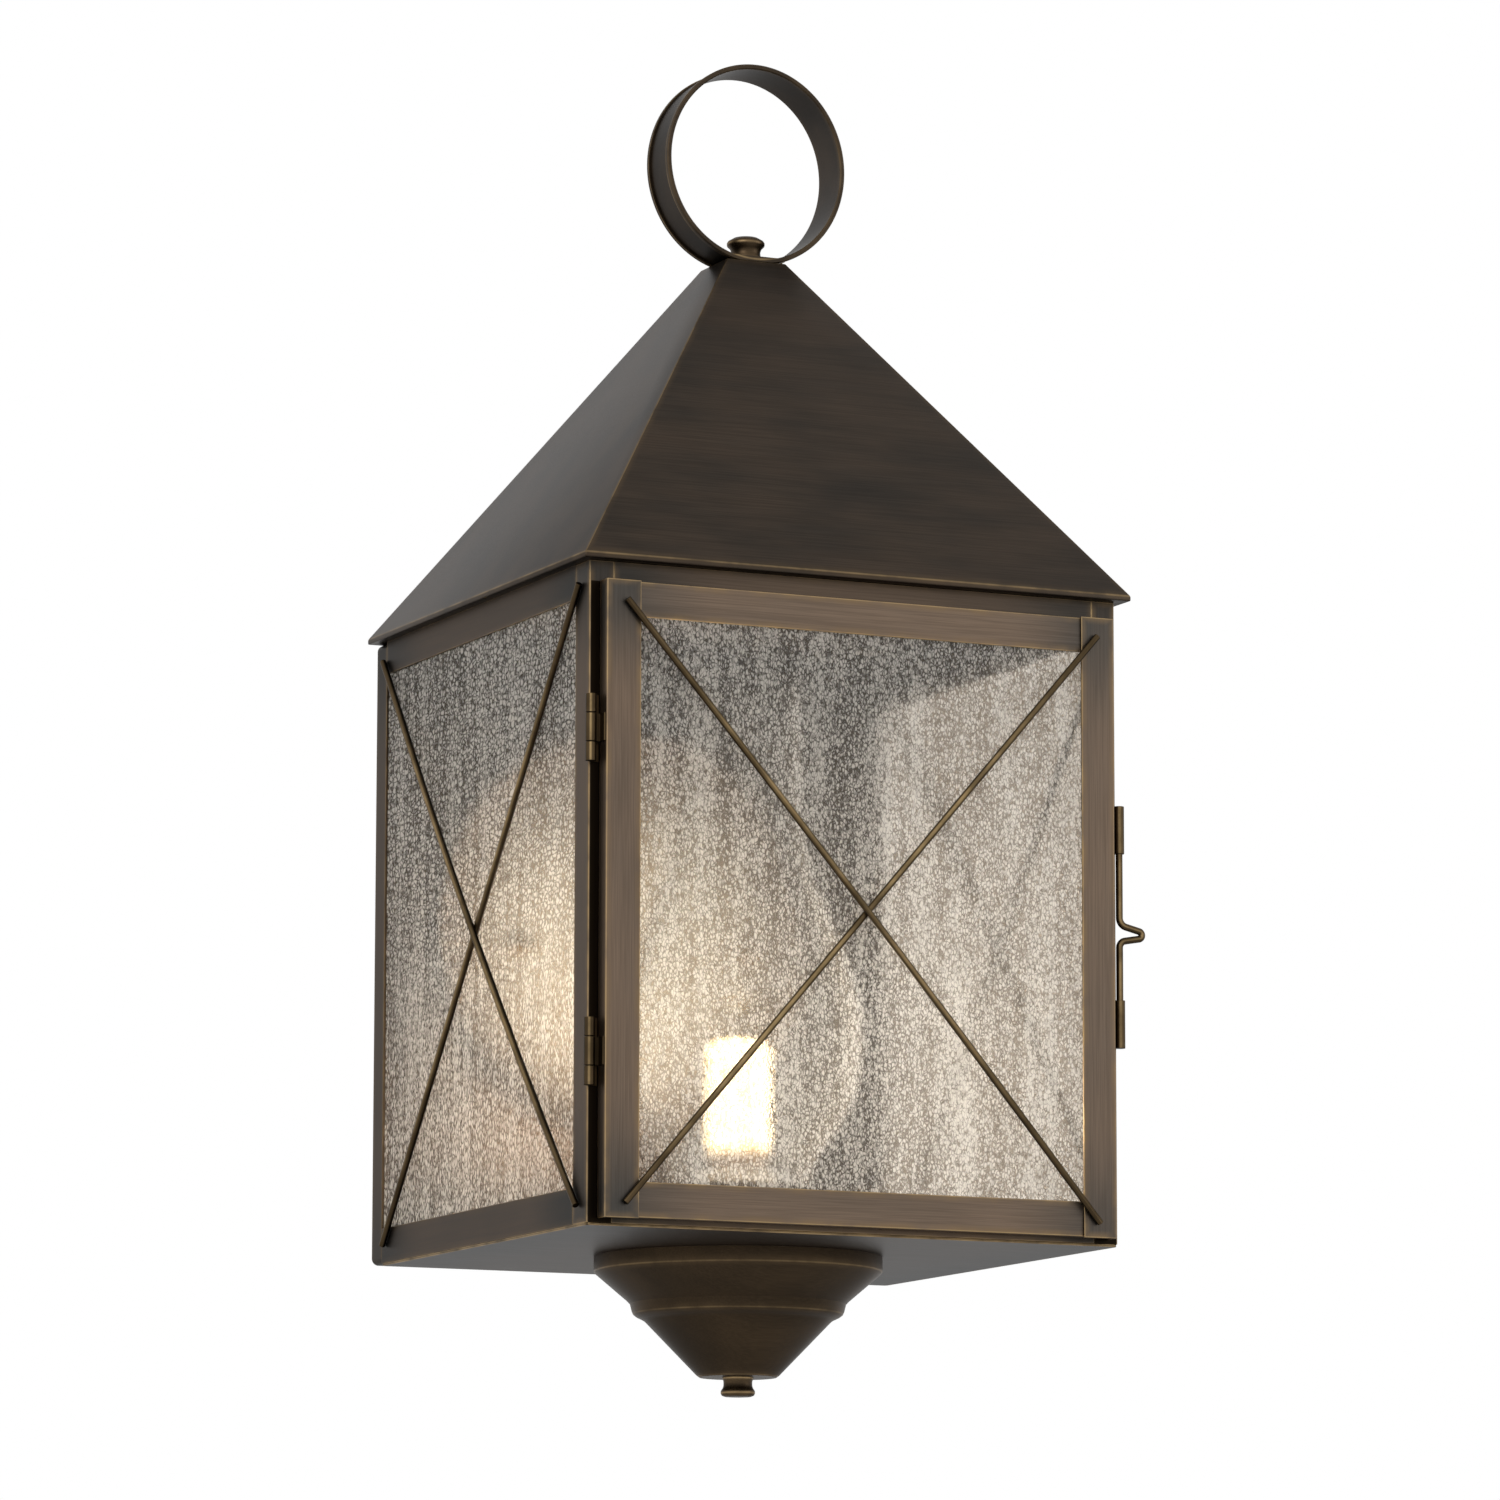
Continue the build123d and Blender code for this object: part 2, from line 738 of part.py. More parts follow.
# Screws that hold the roof's hem on the side rails, heads below
with BuildPart() as roof_screws:
    with BuildSketch(level(body_height - sheet)):
        with Locations(*roof_screw_places):
            Circle(roof_screw_diameter / 2)
    extrude(amount=sheet + roof_sheet)
    with BuildSketch(level(body_height - sheet - roof_screw_head_height)):
        with Locations(*roof_screw_places):
            Circle(roof_screw_head_diameter / 2)
    extrude(amount=roof_screw_head_height)
roof_screws.part.label = "roof_screws"
export_step(roof_screws.part, "parts/roof_screws.step")

# Ring: a flat band with a raised rim along both edges, flattened where it stands on the roof
ring_centre_height = roof_top_height - ring_flat_drop + ring_height / 2
ring_seat_height = roof_top_height + ring_thickness
with BuildPart() as top_ring:
    with BuildSketch(upright(ring_depth - ring_band / 2)):
        with Locations((0, ring_centre_height)):
            Ellipse(ring_width / 2, ring_height / 2)
        with Locations((0, roof_top_height - ring_height / 2)):
            Rectangle(ring_width, ring_height, mode=Mode.SUBTRACT)
    extrude(amount=ring_band)
    with BuildSketch(upright(ring_depth - ring_band / 2)):
        with Locations((0, ring_centre_height)):
            Ellipse(ring_width / 2 - ring_thickness, ring_height / 2 - ring_thickness)
        with Locations((0, ring_seat_height - ring_height / 2)):
            Rectangle(ring_width, ring_height, mode=Mode.SUBTRACT)
    extrude(amount=ring_band, mode=Mode.SUBTRACT)
    with BuildSketch(upright(ring_depth - ring_band / 2 + ring_rim_width)):
        with Locations((0, ring_centre_height)):
            Ellipse(ring_width / 2 + ring_rim_step, ring_height / 2 + ring_rim_step)
            Ellipse(ring_width / 2 - ring_rim_step, ring_height / 2 - ring_rim_step, mode=Mode.SUBTRACT)
    extrude(amount=ring_band - 2 * ring_rim_width, mode=Mode.SUBTRACT)
    with BuildSketch(level(roof_top_height)):
        with Locations((0, -ring_depth)):
            Circle(stud_diameter / 2 + stud_hole_clearance)
    extrude(amount=ring_thickness, mode=Mode.SUBTRACT)
top_ring.part.label = "top_ring"
export_step(top_ring.part, "parts/top_ring.step")

# Stud, nut and washer that clamp the ring and the knob to the roof
stud_bottom = roof_top_height - roof_sheet - stud_below_roof
stud_top = ring_seat_height + stud_in_knob
with BuildPart() as roof_stud:
    with BuildSketch(level(stud_bottom)):
        with Locations((0, -ring_depth)):
            Circle(stud_diameter / 2)
    extrude(amount=stud_top - stud_bottom)
roof_stud.part.label = "roof_stud"
export_step(roof_stud.part, "parts/roof_stud.step")

with BuildPart() as roof_nut:
    with BuildSketch(level(roof_top_height - roof_sheet)):
        with Locations((0, -ring_depth)):
            Circle(roof_washer_diameter / 2)
            Circle(stud_diameter / 2, mode=Mode.SUBTRACT)
    extrude(amount=-roof_washer_thickness)
    with BuildSketch(level(roof_top_height - roof_sheet - roof_washer_thickness)):
        with Locations((0, -ring_depth)):
            RegularPolygon(roof_nut_width / 2, 6, major_radius=False)
            Circle(stud_diameter / 2, mode=Mode.SUBTRACT)
    extrude(amount=-roof_nut_height)
roof_nut.part.label = "roof_nut"
export_step(roof_nut.part, "parts/roof_nut.step")

# Flared knob on the stud
base_radius = knob_base_diameter / 2
neck_radius = knob_neck_diameter / 2
head_radius = knob_head_diameter / 2
crown_radius = knob_crown_diameter / 2
flare_low = ring_seat_height + knob_foot_height
flare_high = ring_seat_height + knob_flare_height
head_top = ring_seat_height + knob_edge_height
crown_height = ring_seat_height + knob_height
with BuildPart() as top_knob:
    with BuildSketch(upright(ring_depth)):
        with BuildLine():
            Polyline(
                (crown_radius, crown_height),
                (0, crown_height),
                (0, ring_seat_height),
                (base_radius, ring_seat_height),
                (base_radius, flare_low),
            )
            ThreePointArc(
                (base_radius, flare_low),
                (neck_radius, (flare_low + flare_high) / 2),
                (head_radius, flare_high),
            )
            Line((head_radius, flare_high), (head_radius, head_top))
            ThreePointArc(
                (head_radius, head_top),
                ((head_radius + crown_radius) / 2, head_top + knob_crown_fullness * (crown_height - head_top)),
                (crown_radius, crown_height),
            )
        make_face()
    revolve(axis=vertical_axis(0, ring_depth))
    with BuildSketch(level(ring_seat_height)):
        with Locations((0, -ring_depth)):
            Circle(stud_diameter / 2)
    extrude(amount=stud_in_knob, mode=Mode.SUBTRACT)
top_knob.part.label = "top_knob"
export_step(top_knob.part, "parts/top_knob.step")

# Spun canopy under the body: rim band, cone, rounded step, cone and a small flat end
lamp_axis = vertical_axis(0, lamp_depth)


def canopy_outline(inset):
    """Corner points of the canopy's outline, from the rim down to the middle, drawn in by inset."""
    return [
        (canopy_rim_diameter / 2 - inset, bottom_underside),
        (canopy_rim_diameter / 2 - inset, bottom_underside - canopy_rim_height + inset / 2),
        (canopy_shoulder_diameter / 2 - inset, bottom_underside - canopy_shoulder_drop + inset / 2),
        (canopy_step_diameter / 2 - inset, bottom_underside - canopy_step_drop + inset / 2),
        (canopy_lower_diameter / 2 - inset, bottom_underside - canopy_lower_drop + inset / 2),
        (canopy_end_diameter / 2 - inset / 2, bottom_underside - canopy_drop + inset),
        (0, bottom_underside - canopy_drop + inset),
    ]


with BuildPart() as canopy:
    with BuildSketch(upright(lamp_depth)):
        with BuildLine():
            Polyline(*canopy_outline(0), *reversed(canopy_outline(canopy_sheet)), close=True)
        make_face()
    revolve(axis=lamp_axis)
    with BuildSketch(level(bottom_underside - canopy_drop)):
        with Locations((0, -lamp_depth)):
            Circle(nipple_diameter / 2 + nipple_hole_clearance)
    extrude(amount=canopy_sheet, mode=Mode.SUBTRACT)
canopy.part.label = "canopy"
export_step(canopy.part, "parts/canopy.step")

# Finial that closes the canopy from below
finial_top = bottom_underside - canopy_drop
finial_collar_radius = finial_collar_diameter / 2
finial_neck_radius = finial_neck_diameter / 2
finial_head_radius = finial_head_diameter / 2
with BuildPart() as finial:
    with BuildSketch(upright(lamp_depth)):
        with BuildLine():
            Polyline(
                (finial_head_radius, finial_top - finial_head_drop),
                (finial_head_radius, finial_top - finial_height),
                (0, finial_top - finial_height),
                (0, finial_top),
                (finial_collar_radius, finial_top),
                (finial_collar_radius, finial_top - finial_collar_height),
            )
            ThreePointArc(
                (finial_collar_radius, finial_top - finial_collar_height),
                (finial_neck_radius, finial_top - finial_neck_drop),
                (finial_head_radius, finial_top - finial_head_drop),
            )
        make_face()
    revolve(axis=lamp_axis)
    fillet(finial.edges().group_by(Axis.Z)[0], radius=finial_end_radius)
    with BuildSketch(level(finial_top)):
        with Locations((0, -lamp_depth)):
            Circle(nipple_diameter / 2)
    extrude(amount=-finial_bore_depth, mode=Mode.SUBTRACT)
finial.part.label = "finial"
export_step(finial.part, "parts/finial.step")

# Threaded tube from the finial up into the socket
gallery_floor = nipple_nut_height
socket_base = gallery_floor + gallery_sheet
with BuildPart() as centre_tube:
    with BuildSketch(level(finial_top - finial_bore_depth)):
        with Locations((0, -lamp_depth)):
            Circle(nipple_diameter / 2)
            Circle(nipple_bore_diameter / 2, mode=Mode.SUBTRACT)
    extrude(amount=socket_base + nipple_in_socket - finial_top + finial_bore_depth)
centre_tube.part.label = "centre_tube"
export_step(centre_tube.part, "parts/centre_tube.step")

with BuildPart() as tube_nuts:
    with BuildSketch(level(0)):
        with Locations((0, -lamp_depth)):
            RegularPolygon(nipple_nut_width / 2, 6, major_radius=False)
            Circle(nipple_diameter / 2, mode=Mode.SUBTRACT)
    extrude(amount=nipple_nut_height)
    with BuildSketch(level(bottom_underside)):
        with Locations((0, -lamp_depth)):
            RegularPolygon(nipple_nut_width / 2, 6, major_radius=False)
            Circle(nipple_diameter / 2, mode=Mode.SUBTRACT)
    extrude(amount=-nipple_nut_height)
tube_nuts.part.label = "tube_nuts"
export_step(tube_nuts.part, "parts/tube_nuts.step")

# Gallery: a cup on the tube whose rim carries the chimney
seat_radius = gallery_seat_diameter / 2
cup_radius = gallery_cup_diameter / 2
hub_radius = gallery_hub_diameter / 2
with BuildPart() as gallery:
    with BuildSketch(upright(lamp_depth)):
        with BuildLine():
            Polyline(
                (nipple_diameter / 2 + nipple_hole_clearance, gallery_floor),
                (hub_radius, gallery_floor),
                (cup_radius, gallery_cup_low),
                (cup_radius, gallery_seat_height),
                (seat_radius + gallery_sheet, gallery_seat_height),
                (seat_radius + gallery_sheet, gallery_seat_height + gallery_sheet + gallery_lip_height),
                (seat_radius, gallery_seat_height + gallery_sheet + gallery_lip_height),
                (seat_radius, gallery_seat_height + gallery_sheet),
                (cup_radius - gallery_sheet, gallery_seat_height + gallery_sheet),
                (cup_radius - gallery_sheet, gallery_cup_low + gallery_sheet / 2),
                (hub_radius, gallery_floor + gallery_sheet),
                (nipple_diameter / 2 + nipple_hole_clearance, gallery_floor + gallery_sheet),
                close=True,
            )
        make_face()
    revolve(axis=lamp_axis)
gallery.part.label = "gallery"
export_step(gallery.part, "parts/gallery.step")

# Porcelain socket, and its threaded brass shell
socket_bore_radius = bulb_base_diameter / 2 + moving_gap
shell_outer_radius = socket_bore_radius + shell_sheet
with BuildPart() as lamp_socket:
    with BuildSketch(level(socket_base)):
        with Locations((0, -lamp_depth)):
            Circle(socket_diameter / 2)
    extrude(amount=socket_height)
    fillet(lamp_socket.faces().sort_by(Axis.Z)[-1].edges(), radius=socket_edge_radius)
    with BuildSketch(level(socket_base + socket_floor)):
        with Locations((0, -lamp_depth)):
            Circle(shell_outer_radius)
    extrude(amount=socket_height - socket_floor, mode=Mode.SUBTRACT)
    with BuildSketch(level(socket_base)):
        with Locations((0, -lamp_depth)):
            Circle(nipple_diameter / 2)
    extrude(amount=socket_floor, mode=Mode.SUBTRACT)
lamp_socket.part.label = "lamp_socket"
export_step(lamp_socket.part, "parts/lamp_socket.step")

shell_floor = socket_base + socket_floor
with BuildPart() as socket_shell:
    with BuildSketch(level(shell_floor)):
        with Locations((0, -lamp_depth)):
            Circle(shell_outer_radius)
    extrude(amount=bulb_base_height)
    with BuildSketch(level(shell_floor + shell_sheet)):
        with Locations((0, -lamp_depth)):
            Circle(socket_bore_radius)
    extrude(amount=bulb_base_height, mode=Mode.SUBTRACT)
socket_shell.part.label = "socket_shell"
export_step(socket_shell.part, "parts/socket_shell.step")

# Bulb: screw base with its contact, glass envelope, stem and filament
contact_bottom = shell_floor + shell_sheet + moving_gap
bulb_base_bottom = contact_bottom + bulb_contact_height
bulb_glass_bottom = bulb_base_bottom + bulb_base_height
bulb_base_radius = bulb_base_diameter / 2
bulb_contact_radius = bulb_contact_diameter / 2
with BuildPart() as bulb_base:
    with BuildSketch(upright(lamp_depth)):
        with BuildLine():
            Polyline(
                (0, contact_bottom),
                (bulb_contact_radius, contact_bottom),
                (bulb_contact_radius, bulb_base_bottom),
                (bulb_base_radius - bulb_base_bevel, bulb_base_bottom),
                (bulb_base_radius, bulb_base_bottom + bulb_base_bevel),
                (bulb_base_radius, bulb_glass_bottom),
                (0, bulb_glass_bottom),
                close=True,
            )
        make_face()
    revolve(axis=lamp_axis)
bulb_base.part.label = "bulb_base"
export_step(bulb_base.part, "parts/bulb_base.step")


def bulb_outline(wall):
    """Half outline of the envelope, drawn in by its wall."""
    radius = bulb_diameter / 2 - wall
    neck = bulb_neck_diameter / 2 - wall
    top = bulb_glass_bottom + bulb_height - wall
    shoulder = bulb_glass_bottom + bulb_shoulder_height
    corner = bulb_corner_radius - wall
    return radius, neck, top, shoulder, corner


with BuildPart() as bulb_glass:
    for wall, mode in ((0, Mode.ADD), (bulb_wall, Mode.SUBTRACT)):
        radius, neck, top, shoulder, corner = bulb_outline(wall)
        with BuildSketch(upright(lamp_depth)):
            with BuildLine():
                Line((0, bulb_glass_bottom + wall), (neck, bulb_glass_bottom + wall))
                Line((neck, bulb_glass_bottom + wall), (radius, shoulder))
                Line((radius, shoulder), (radius, top - corner))
                ThreePointArc(
                    (radius, top - corner),
                    (radius - corner + corner * cos(radians(45)), top - corner + corner * sin(radians(45))),
                    (radius - corner, top),
                )
                Polyline((radius - corner, top), (0, top), (0, bulb_glass_bottom + wall))
            make_face()
        revolve(axis=lamp_axis, mode=mode)
bulb_glass.part.label = "bulb_glass"
export_step(bulb_glass.part, "parts/bulb_glass.step")

filament_bottom = bulb_glass_bottom + bulb_wall + bulb_stem_height - filament_sink
with BuildPart() as bulb_filament:
    with BuildSketch(level(bulb_glass_bottom + bulb_wall)):
        with Locations((0, -lamp_depth)):
            Circle(bulb_stem_diameter / 2)
    extrude(amount=bulb_stem_height, taper=bulb_stem_taper)
    with BuildSketch(level(filament_bottom)):
        with Locations((0, -lamp_depth)):
            Rectangle(2 * filament_spread + filament_diameter, filament_diameter)
            Rectangle(filament_diameter, 2 * filament_spread + filament_diameter)
    extrude(amount=filament_diameter)
    with BuildSketch(level(filament_bottom)):
        with Locations((0, -lamp_depth)):
            with PolarLocations(filament_spread, filament_count):
                Circle(filament_diameter / 2)
    extrude(amount=filament_height)
bulb_filament.part.label = "bulb_filament"
export_step(bulb_filament.part, "parts/bulb_filament.step")


def chimney_outline(wall):
    """Points on the chimney's outline, from its foot to its rim, drawn in by its wall."""
    foot = chimney_base_diameter / 2 - wall
    bulge = chimney_bulge_diameter / 2 - wall
    neck = chimney_neck_diameter / 2 - wall
    bulge_height = chimney_base_height + chimney_bulge_height
    rise = chimney_height - chimney_bulge_height
    points = [Vector(foot, chimney_base_height)]
    for share, gained in chimney_bulge_shape:
        points.append(Vector(foot + gained * (bulge - foot), chimney_base_height + share * chimney_bulge_height))
    points.append(Vector(bulge, bulge_height))
    for share, left in chimney_neck_shape:
        points.append(Vector(neck + left * (bulge - neck), bulge_height + share * rise))
    points.append(Vector(chimney_rim_diameter / 2 - wall, chimney_base_height + chimney_height))
    curve = Edge.make_spline(points)
    return [curve @ (ring / chimney_rings) for ring in range(chimney_rings + 1)]


# Chimney glass: foot, low bulge, long neck and a slightly flared rim, in short cones
with BuildPart() as chimney_glass:
    with BuildSketch(upright(lamp_depth)):
        with BuildLine():
            Polyline(*chimney_outline(0), *reversed(chimney_outline(chimney_wall)), close=True)
        make_face()
    revolve(axis=lamp_axis)
chimney_glass.part.label = "chimney_glass"
export_step(chimney_glass.part, "parts/chimney_glass.step")

# Door frame: stiles over the full height, rails lapped behind them
with BuildPart() as door_stile:
    with BuildSketch(level(door_bottom_gap)):
        with BuildLine():
            Polyline(
                (-door_half_width, -door_front_depth),
                (-door_half_width + door_stile_width, -door_front_depth),
                (-door_half_width + door_stile_width, -door_web_depth),
                (-door_half_width + sheet, -door_web_depth),
                (-door_half_width + sheet, -door_back_depth),
                (-door_half_width, -door_back_depth),
                close=True,
            )
        make_face()
    extrude(amount=door_height)
    fillet(
        door_stile.edges().filter_by(Axis.Z).group_by(Axis.X)[0].sort_by(Axis.Y)[0],
        post_bend_radius,
    )
export_pair(door_stile, "door_stile")

door_rail_length = 2 * (door_half_width - sheet)
door_rail_web = door_web_depth - sheet
with BuildPart() as door_rail_top:
    with BuildSketch(flank(-door_rail_length / 2)):
        with BuildLine():
            Polyline(
                (door_web_depth, door_top - door_rail_trim),
                (door_web_depth, door_top - door_top_rail_height),
                (door_rail_web, door_top - door_top_rail_height),
                (door_rail_web, door_top - door_rail_trim - sheet),
                (door_back_depth, door_top - door_rail_trim - sheet),
                (door_back_depth, door_top - door_rail_trim),
                close=True,
            )
        make_face()
    extrude(amount=-door_rail_length)
door_rail_top.part.label = "door_rail_top"
export_step(door_rail_top.part, "parts/door_rail_top.step")

door_low = door_bottom_gap + door_rail_trim
with BuildPart() as door_rail_bottom:
    with BuildSketch(flank(-door_rail_length / 2)):
        with BuildLine():
            Polyline(
                (door_web_depth, door_low),
                (door_web_depth, door_bottom_gap + door_bottom_rail_height),
                (door_rail_web, door_bottom_gap + door_bottom_rail_height),
                (door_rail_web, door_low + sheet),
                (door_back_depth, door_low + sheet),
                (door_back_depth, door_low),
                close=True,
            )
        make_face()
    extrude(amount=-door_rail_length)
door_rail_bottom.part.label = "door_rail_bottom"
export_step(door_rail_bottom.part, "parts/door_rail_bottom.step")

door_pane_half = door_half_width - door_stile_width + glass_overlap
door_pane_low = door_bottom_gap + door_bottom_rail_height - glass_overlap
door_pane_high = door_top - door_top_rail_height + glass_overlap
with BuildPart() as door_glass:
    with BuildSketch(upright(door_glass_depth)):
        with Locations((0, (door_pane_low + door_pane_high) / 2)):
            Rectangle(2 * door_pane_half, door_pane_high - door_pane_low)
    extrude(amount=glass_thickness)
door_glass.part.label = "door_glass"
export_step(door_glass.part, "parts/door_glass.step")

with BuildPart() as door_clips:
    for side in (-1, 1):
        with BuildSketch(flank(side * (door_half_width - door_stile_width - clip_inset) + clip_width / 2)):
            with BuildLine():
                Polyline(
                    *[(door_rail_web + door_rail_web - x, y)
                      for x, y in clip_outline(door_rail_web, door_pane_high, 1)],
                    close=True,
                )
            make_face()
            with BuildLine():
                Polyline(
                    *[(door_rail_web + door_rail_web - x, y)
                      for x, y in clip_outline(door_rail_web, door_pane_low, -1)],
                    close=True,
                )
            make_face()
        extrude(amount=clip_width)
door_clips.part.label = "door_clips"
export_step(door_clips.part, "parts/door_clips.step")

# Crossed rods on the door
door_rod_depth = door_front_depth + rod_radius + rod_clearance
with BuildPart() as door_rod_inner:
    with BuildLine():
        door_inner_path = Line(
            place(-door_rod_reach, door_rod_depth, door_rod_low),
            place(door_rod_reach, door_rod_depth, door_rod_high),
        )
    with BuildSketch(Plane(origin=door_inner_path @ 0, z_dir=door_inner_path % 0)):
        Circle(rod_radius)
    sweep(path=door_inner_path)
door_rod_inner.part.label = "door_rod_inner"
export_step(door_rod_inner.part, "parts/door_rod_inner.step")

with BuildPart() as door_rod_outer:
    with BuildLine():
        door_outer_path = ThreePointArc(
            place(-door_rod_reach, door_rod_depth, door_rod_high),
            place(0, door_rod_depth + rod_bow, (door_rod_low + door_rod_high) / 2),
            place(door_rod_reach, door_rod_depth, door_rod_low),
        )
    with BuildSketch(Plane(origin=door_outer_path @ 0, z_dir=door_outer_path % 0)):
        Circle(rod_radius)
    sweep(path=door_outer_path)
door_rod_outer.part.label = "door_rod_outer"
export_step(door_rod_outer.part, "parts/door_rod_outer.step")

# Hinges: the frame has the outer knuckles and the pin, the door has the middle knuckle
pin_radius = hinge_pin_diameter / 2
barrel_radius = hinge_barrel_diameter / 2
middle_half = hinge_middle_knuckle / 2
outer_knuckle = (hinge_length - hinge_middle_knuckle) / 2 - hinge_knuckle_gap
leaf_left = hinge_x + barrel_radius + hinge_leaf_notch_gap
leaf_right = -door_half_width - hinge_leaf_edge_gap
with BuildPart() as hinge_frame_leaves:
    for hinge_height in hinge_heights:
        for low in (hinge_height - hinge_length / 2, hinge_height + middle_half + hinge_knuckle_gap):
            with BuildSketch(level(low)):
                with Locations((hinge_x, -hinge_depth)):
                    Circle(barrel_radius)
                with Locations(((hinge_x + leaf_right) / 2, -body_depth - hinge_leaf_thickness / 2)):
                    Rectangle(leaf_right - hinge_x, hinge_leaf_thickness)
                with Locations((hinge_x, -hinge_depth)):
                    Circle(pin_radius, mode=Mode.SUBTRACT)
            extrude(amount=outer_knuckle)
        with BuildSketch(upright(body_depth)):
            with Locations(((leaf_left + leaf_right) / 2, hinge_height)):
                Rectangle(leaf_right - leaf_left, hinge_length)
        extrude(amount=hinge_leaf_thickness)
hinge_frame_leaves.part.label = "hinge_frame_leaves"
export_step(hinge_frame_leaves.part, "parts/hinge_frame_leaves.step")

with BuildPart() as hinge_pins:
    for hinge_height in hinge_heights:
        with BuildSketch(level(hinge_height - hinge_length / 2)):
            with Locations((hinge_x, -hinge_depth)):
                Circle(pin_radius)
        extrude(amount=hinge_length)
hinge_pins.part.label = "hinge_pins"
export_step(hinge_pins.part, "parts/hinge_pins.step")

door_leaf_back = door_back_depth + door_leaf_thickness
with BuildPart() as hinge_door_leaves:
    for hinge_height in hinge_heights:
        with BuildSketch(level(hinge_height - middle_half)):
            with Locations((hinge_x, -hinge_depth)):
                Circle(barrel_radius)
            with Locations(((hinge_x - door_half_width) / 2, -hinge_depth)):
                Rectangle(-door_half_width - hinge_x, door_leaf_thickness)
            with Locations((-door_half_width - door_leaf_thickness / 2, -door_leaf_back - door_leaf_depth / 2)):
                Rectangle(door_leaf_thickness, door_leaf_depth)
            with Locations((hinge_x, -hinge_depth)):
                Circle(pin_radius + pin_running_clearance, mode=Mode.SUBTRACT)
        extrude(amount=hinge_middle_knuckle)
hinge_door_leaves.part.label = "hinge_door_leaves"
export_step(hinge_door_leaves.part, "parts/hinge_door_leaves.step")

# Latch: a bent wire that turns in two blind barrels on the right post
wire_radius = latch_wire_diameter / 2
lower_barrel, upper_barrel = latch_barrel_heights
with BuildPart() as latch_barrels:
    for barrel_height, bore_side in ((lower_barrel, 1), (upper_barrel, -1)):
        with BuildSketch(level(barrel_height - latch_barrel_length / 2)):
            with Locations((latch_x, -latch_depth)):
                Circle(latch_barrel_diameter / 2)
            with Locations((latch_x - latch_foot_width / 2, -(latch_depth + body_depth) / 2)):
                Rectangle(latch_foot_width, latch_depth - body_depth)
        extrude(amount=latch_barrel_length)
        with BuildSketch(level(barrel_height + bore_side * latch_barrel_length / 2)):
            with Locations((latch_x, -latch_depth)):
                Circle(wire_radius + pin_running_clearance)
        extrude(amount=-bore_side * (latch_barrel_length - latch_barrel_cap), mode=Mode.SUBTRACT)
latch_barrels.part.label = "latch_barrels"
export_step(latch_barrels.part, "parts/latch_barrels.step")

wire_low = lower_barrel - latch_barrel_length / 2 + latch_barrel_cap + latch_end_gap
wire_high = upper_barrel + latch_barrel_length / 2 - latch_barrel_cap - latch_end_gap
with BuildPart() as latch_wire:
    with BuildLine(Plane(origin=(latch_x, -latch_depth, -bracket_height), x_dir=(1, 0, 0), z_dir=(0, -1, 0))):
        FilletPolyline(
            (0, wire_high),
            (0, latch_kink_height + latch_kink_rise),
            (latch_kink_reach, latch_kink_height + latch_tip_half_gap),
            (latch_kink_reach, latch_kink_height - latch_tip_half_gap),
            (0, latch_kink_height - latch_kink_fall),
            (0, wire_low),
            radius=(
                latch_upper_bend_radius,
                latch_tip_bend_radius,
                latch_tip_bend_radius,
                latch_lower_bend_radius,
            ),
        )
    with BuildSketch(level(wire_high)):
        with Locations((latch_x, -latch_depth)):
            Circle(wire_radius)
    sweep()
latch_wire.part.label = "latch_wire"
export_step(latch_wire.part, "parts/latch_wire.step")
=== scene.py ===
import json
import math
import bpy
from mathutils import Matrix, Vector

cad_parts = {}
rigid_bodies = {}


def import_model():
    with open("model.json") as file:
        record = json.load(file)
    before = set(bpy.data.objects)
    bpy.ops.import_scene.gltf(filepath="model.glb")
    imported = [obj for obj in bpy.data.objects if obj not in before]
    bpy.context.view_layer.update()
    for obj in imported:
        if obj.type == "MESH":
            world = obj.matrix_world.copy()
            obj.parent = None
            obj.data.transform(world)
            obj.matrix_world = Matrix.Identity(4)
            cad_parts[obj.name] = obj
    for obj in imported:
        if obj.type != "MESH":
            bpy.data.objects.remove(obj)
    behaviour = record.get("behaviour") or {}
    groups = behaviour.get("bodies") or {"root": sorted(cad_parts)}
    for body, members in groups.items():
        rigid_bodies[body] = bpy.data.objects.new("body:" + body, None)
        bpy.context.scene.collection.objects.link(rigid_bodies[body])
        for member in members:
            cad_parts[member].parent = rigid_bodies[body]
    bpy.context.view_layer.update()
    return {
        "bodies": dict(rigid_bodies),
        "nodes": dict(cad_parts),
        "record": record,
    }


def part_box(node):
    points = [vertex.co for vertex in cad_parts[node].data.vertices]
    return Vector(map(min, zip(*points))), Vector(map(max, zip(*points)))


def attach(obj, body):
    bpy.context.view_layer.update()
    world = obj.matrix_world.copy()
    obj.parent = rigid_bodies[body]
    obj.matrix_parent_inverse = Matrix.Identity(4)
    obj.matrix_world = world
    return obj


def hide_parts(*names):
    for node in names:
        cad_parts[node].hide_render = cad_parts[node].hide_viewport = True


bl_info = {
    "name": "Wall lantern",
    "version": (1, 0, 0),
    "blender": (4, 5, 0),
    "location": "View3D > Sidebar > Lantern",
    "description": "Dresses the packed wall lantern in patina metal and seedy glass, and lights it",
    "category": "Object",
}

import bmesh
import bpy
from bpy.props import FloatProperty, FloatVectorProperty, IntProperty, PointerProperty
from mathutils import Matrix, Vector, noise

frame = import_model()
NODES = frame["nodes"]
RECORD = frame["record"]
SLOTS = {row["node"]: row["material_slot"] for row in RECORD["subparts"]}
BODIES = {node: body for body, members in RECORD["behaviour"]["bodies"].items() for node in members}

MM = 0.001
# Height of the wall bracket, the frame's origin, above the underside of the body
BRACKET_HEIGHT = 165 * MM
# Depth of the lamp's axis from the wall
LAMP_DEPTH = 135.5 * MM

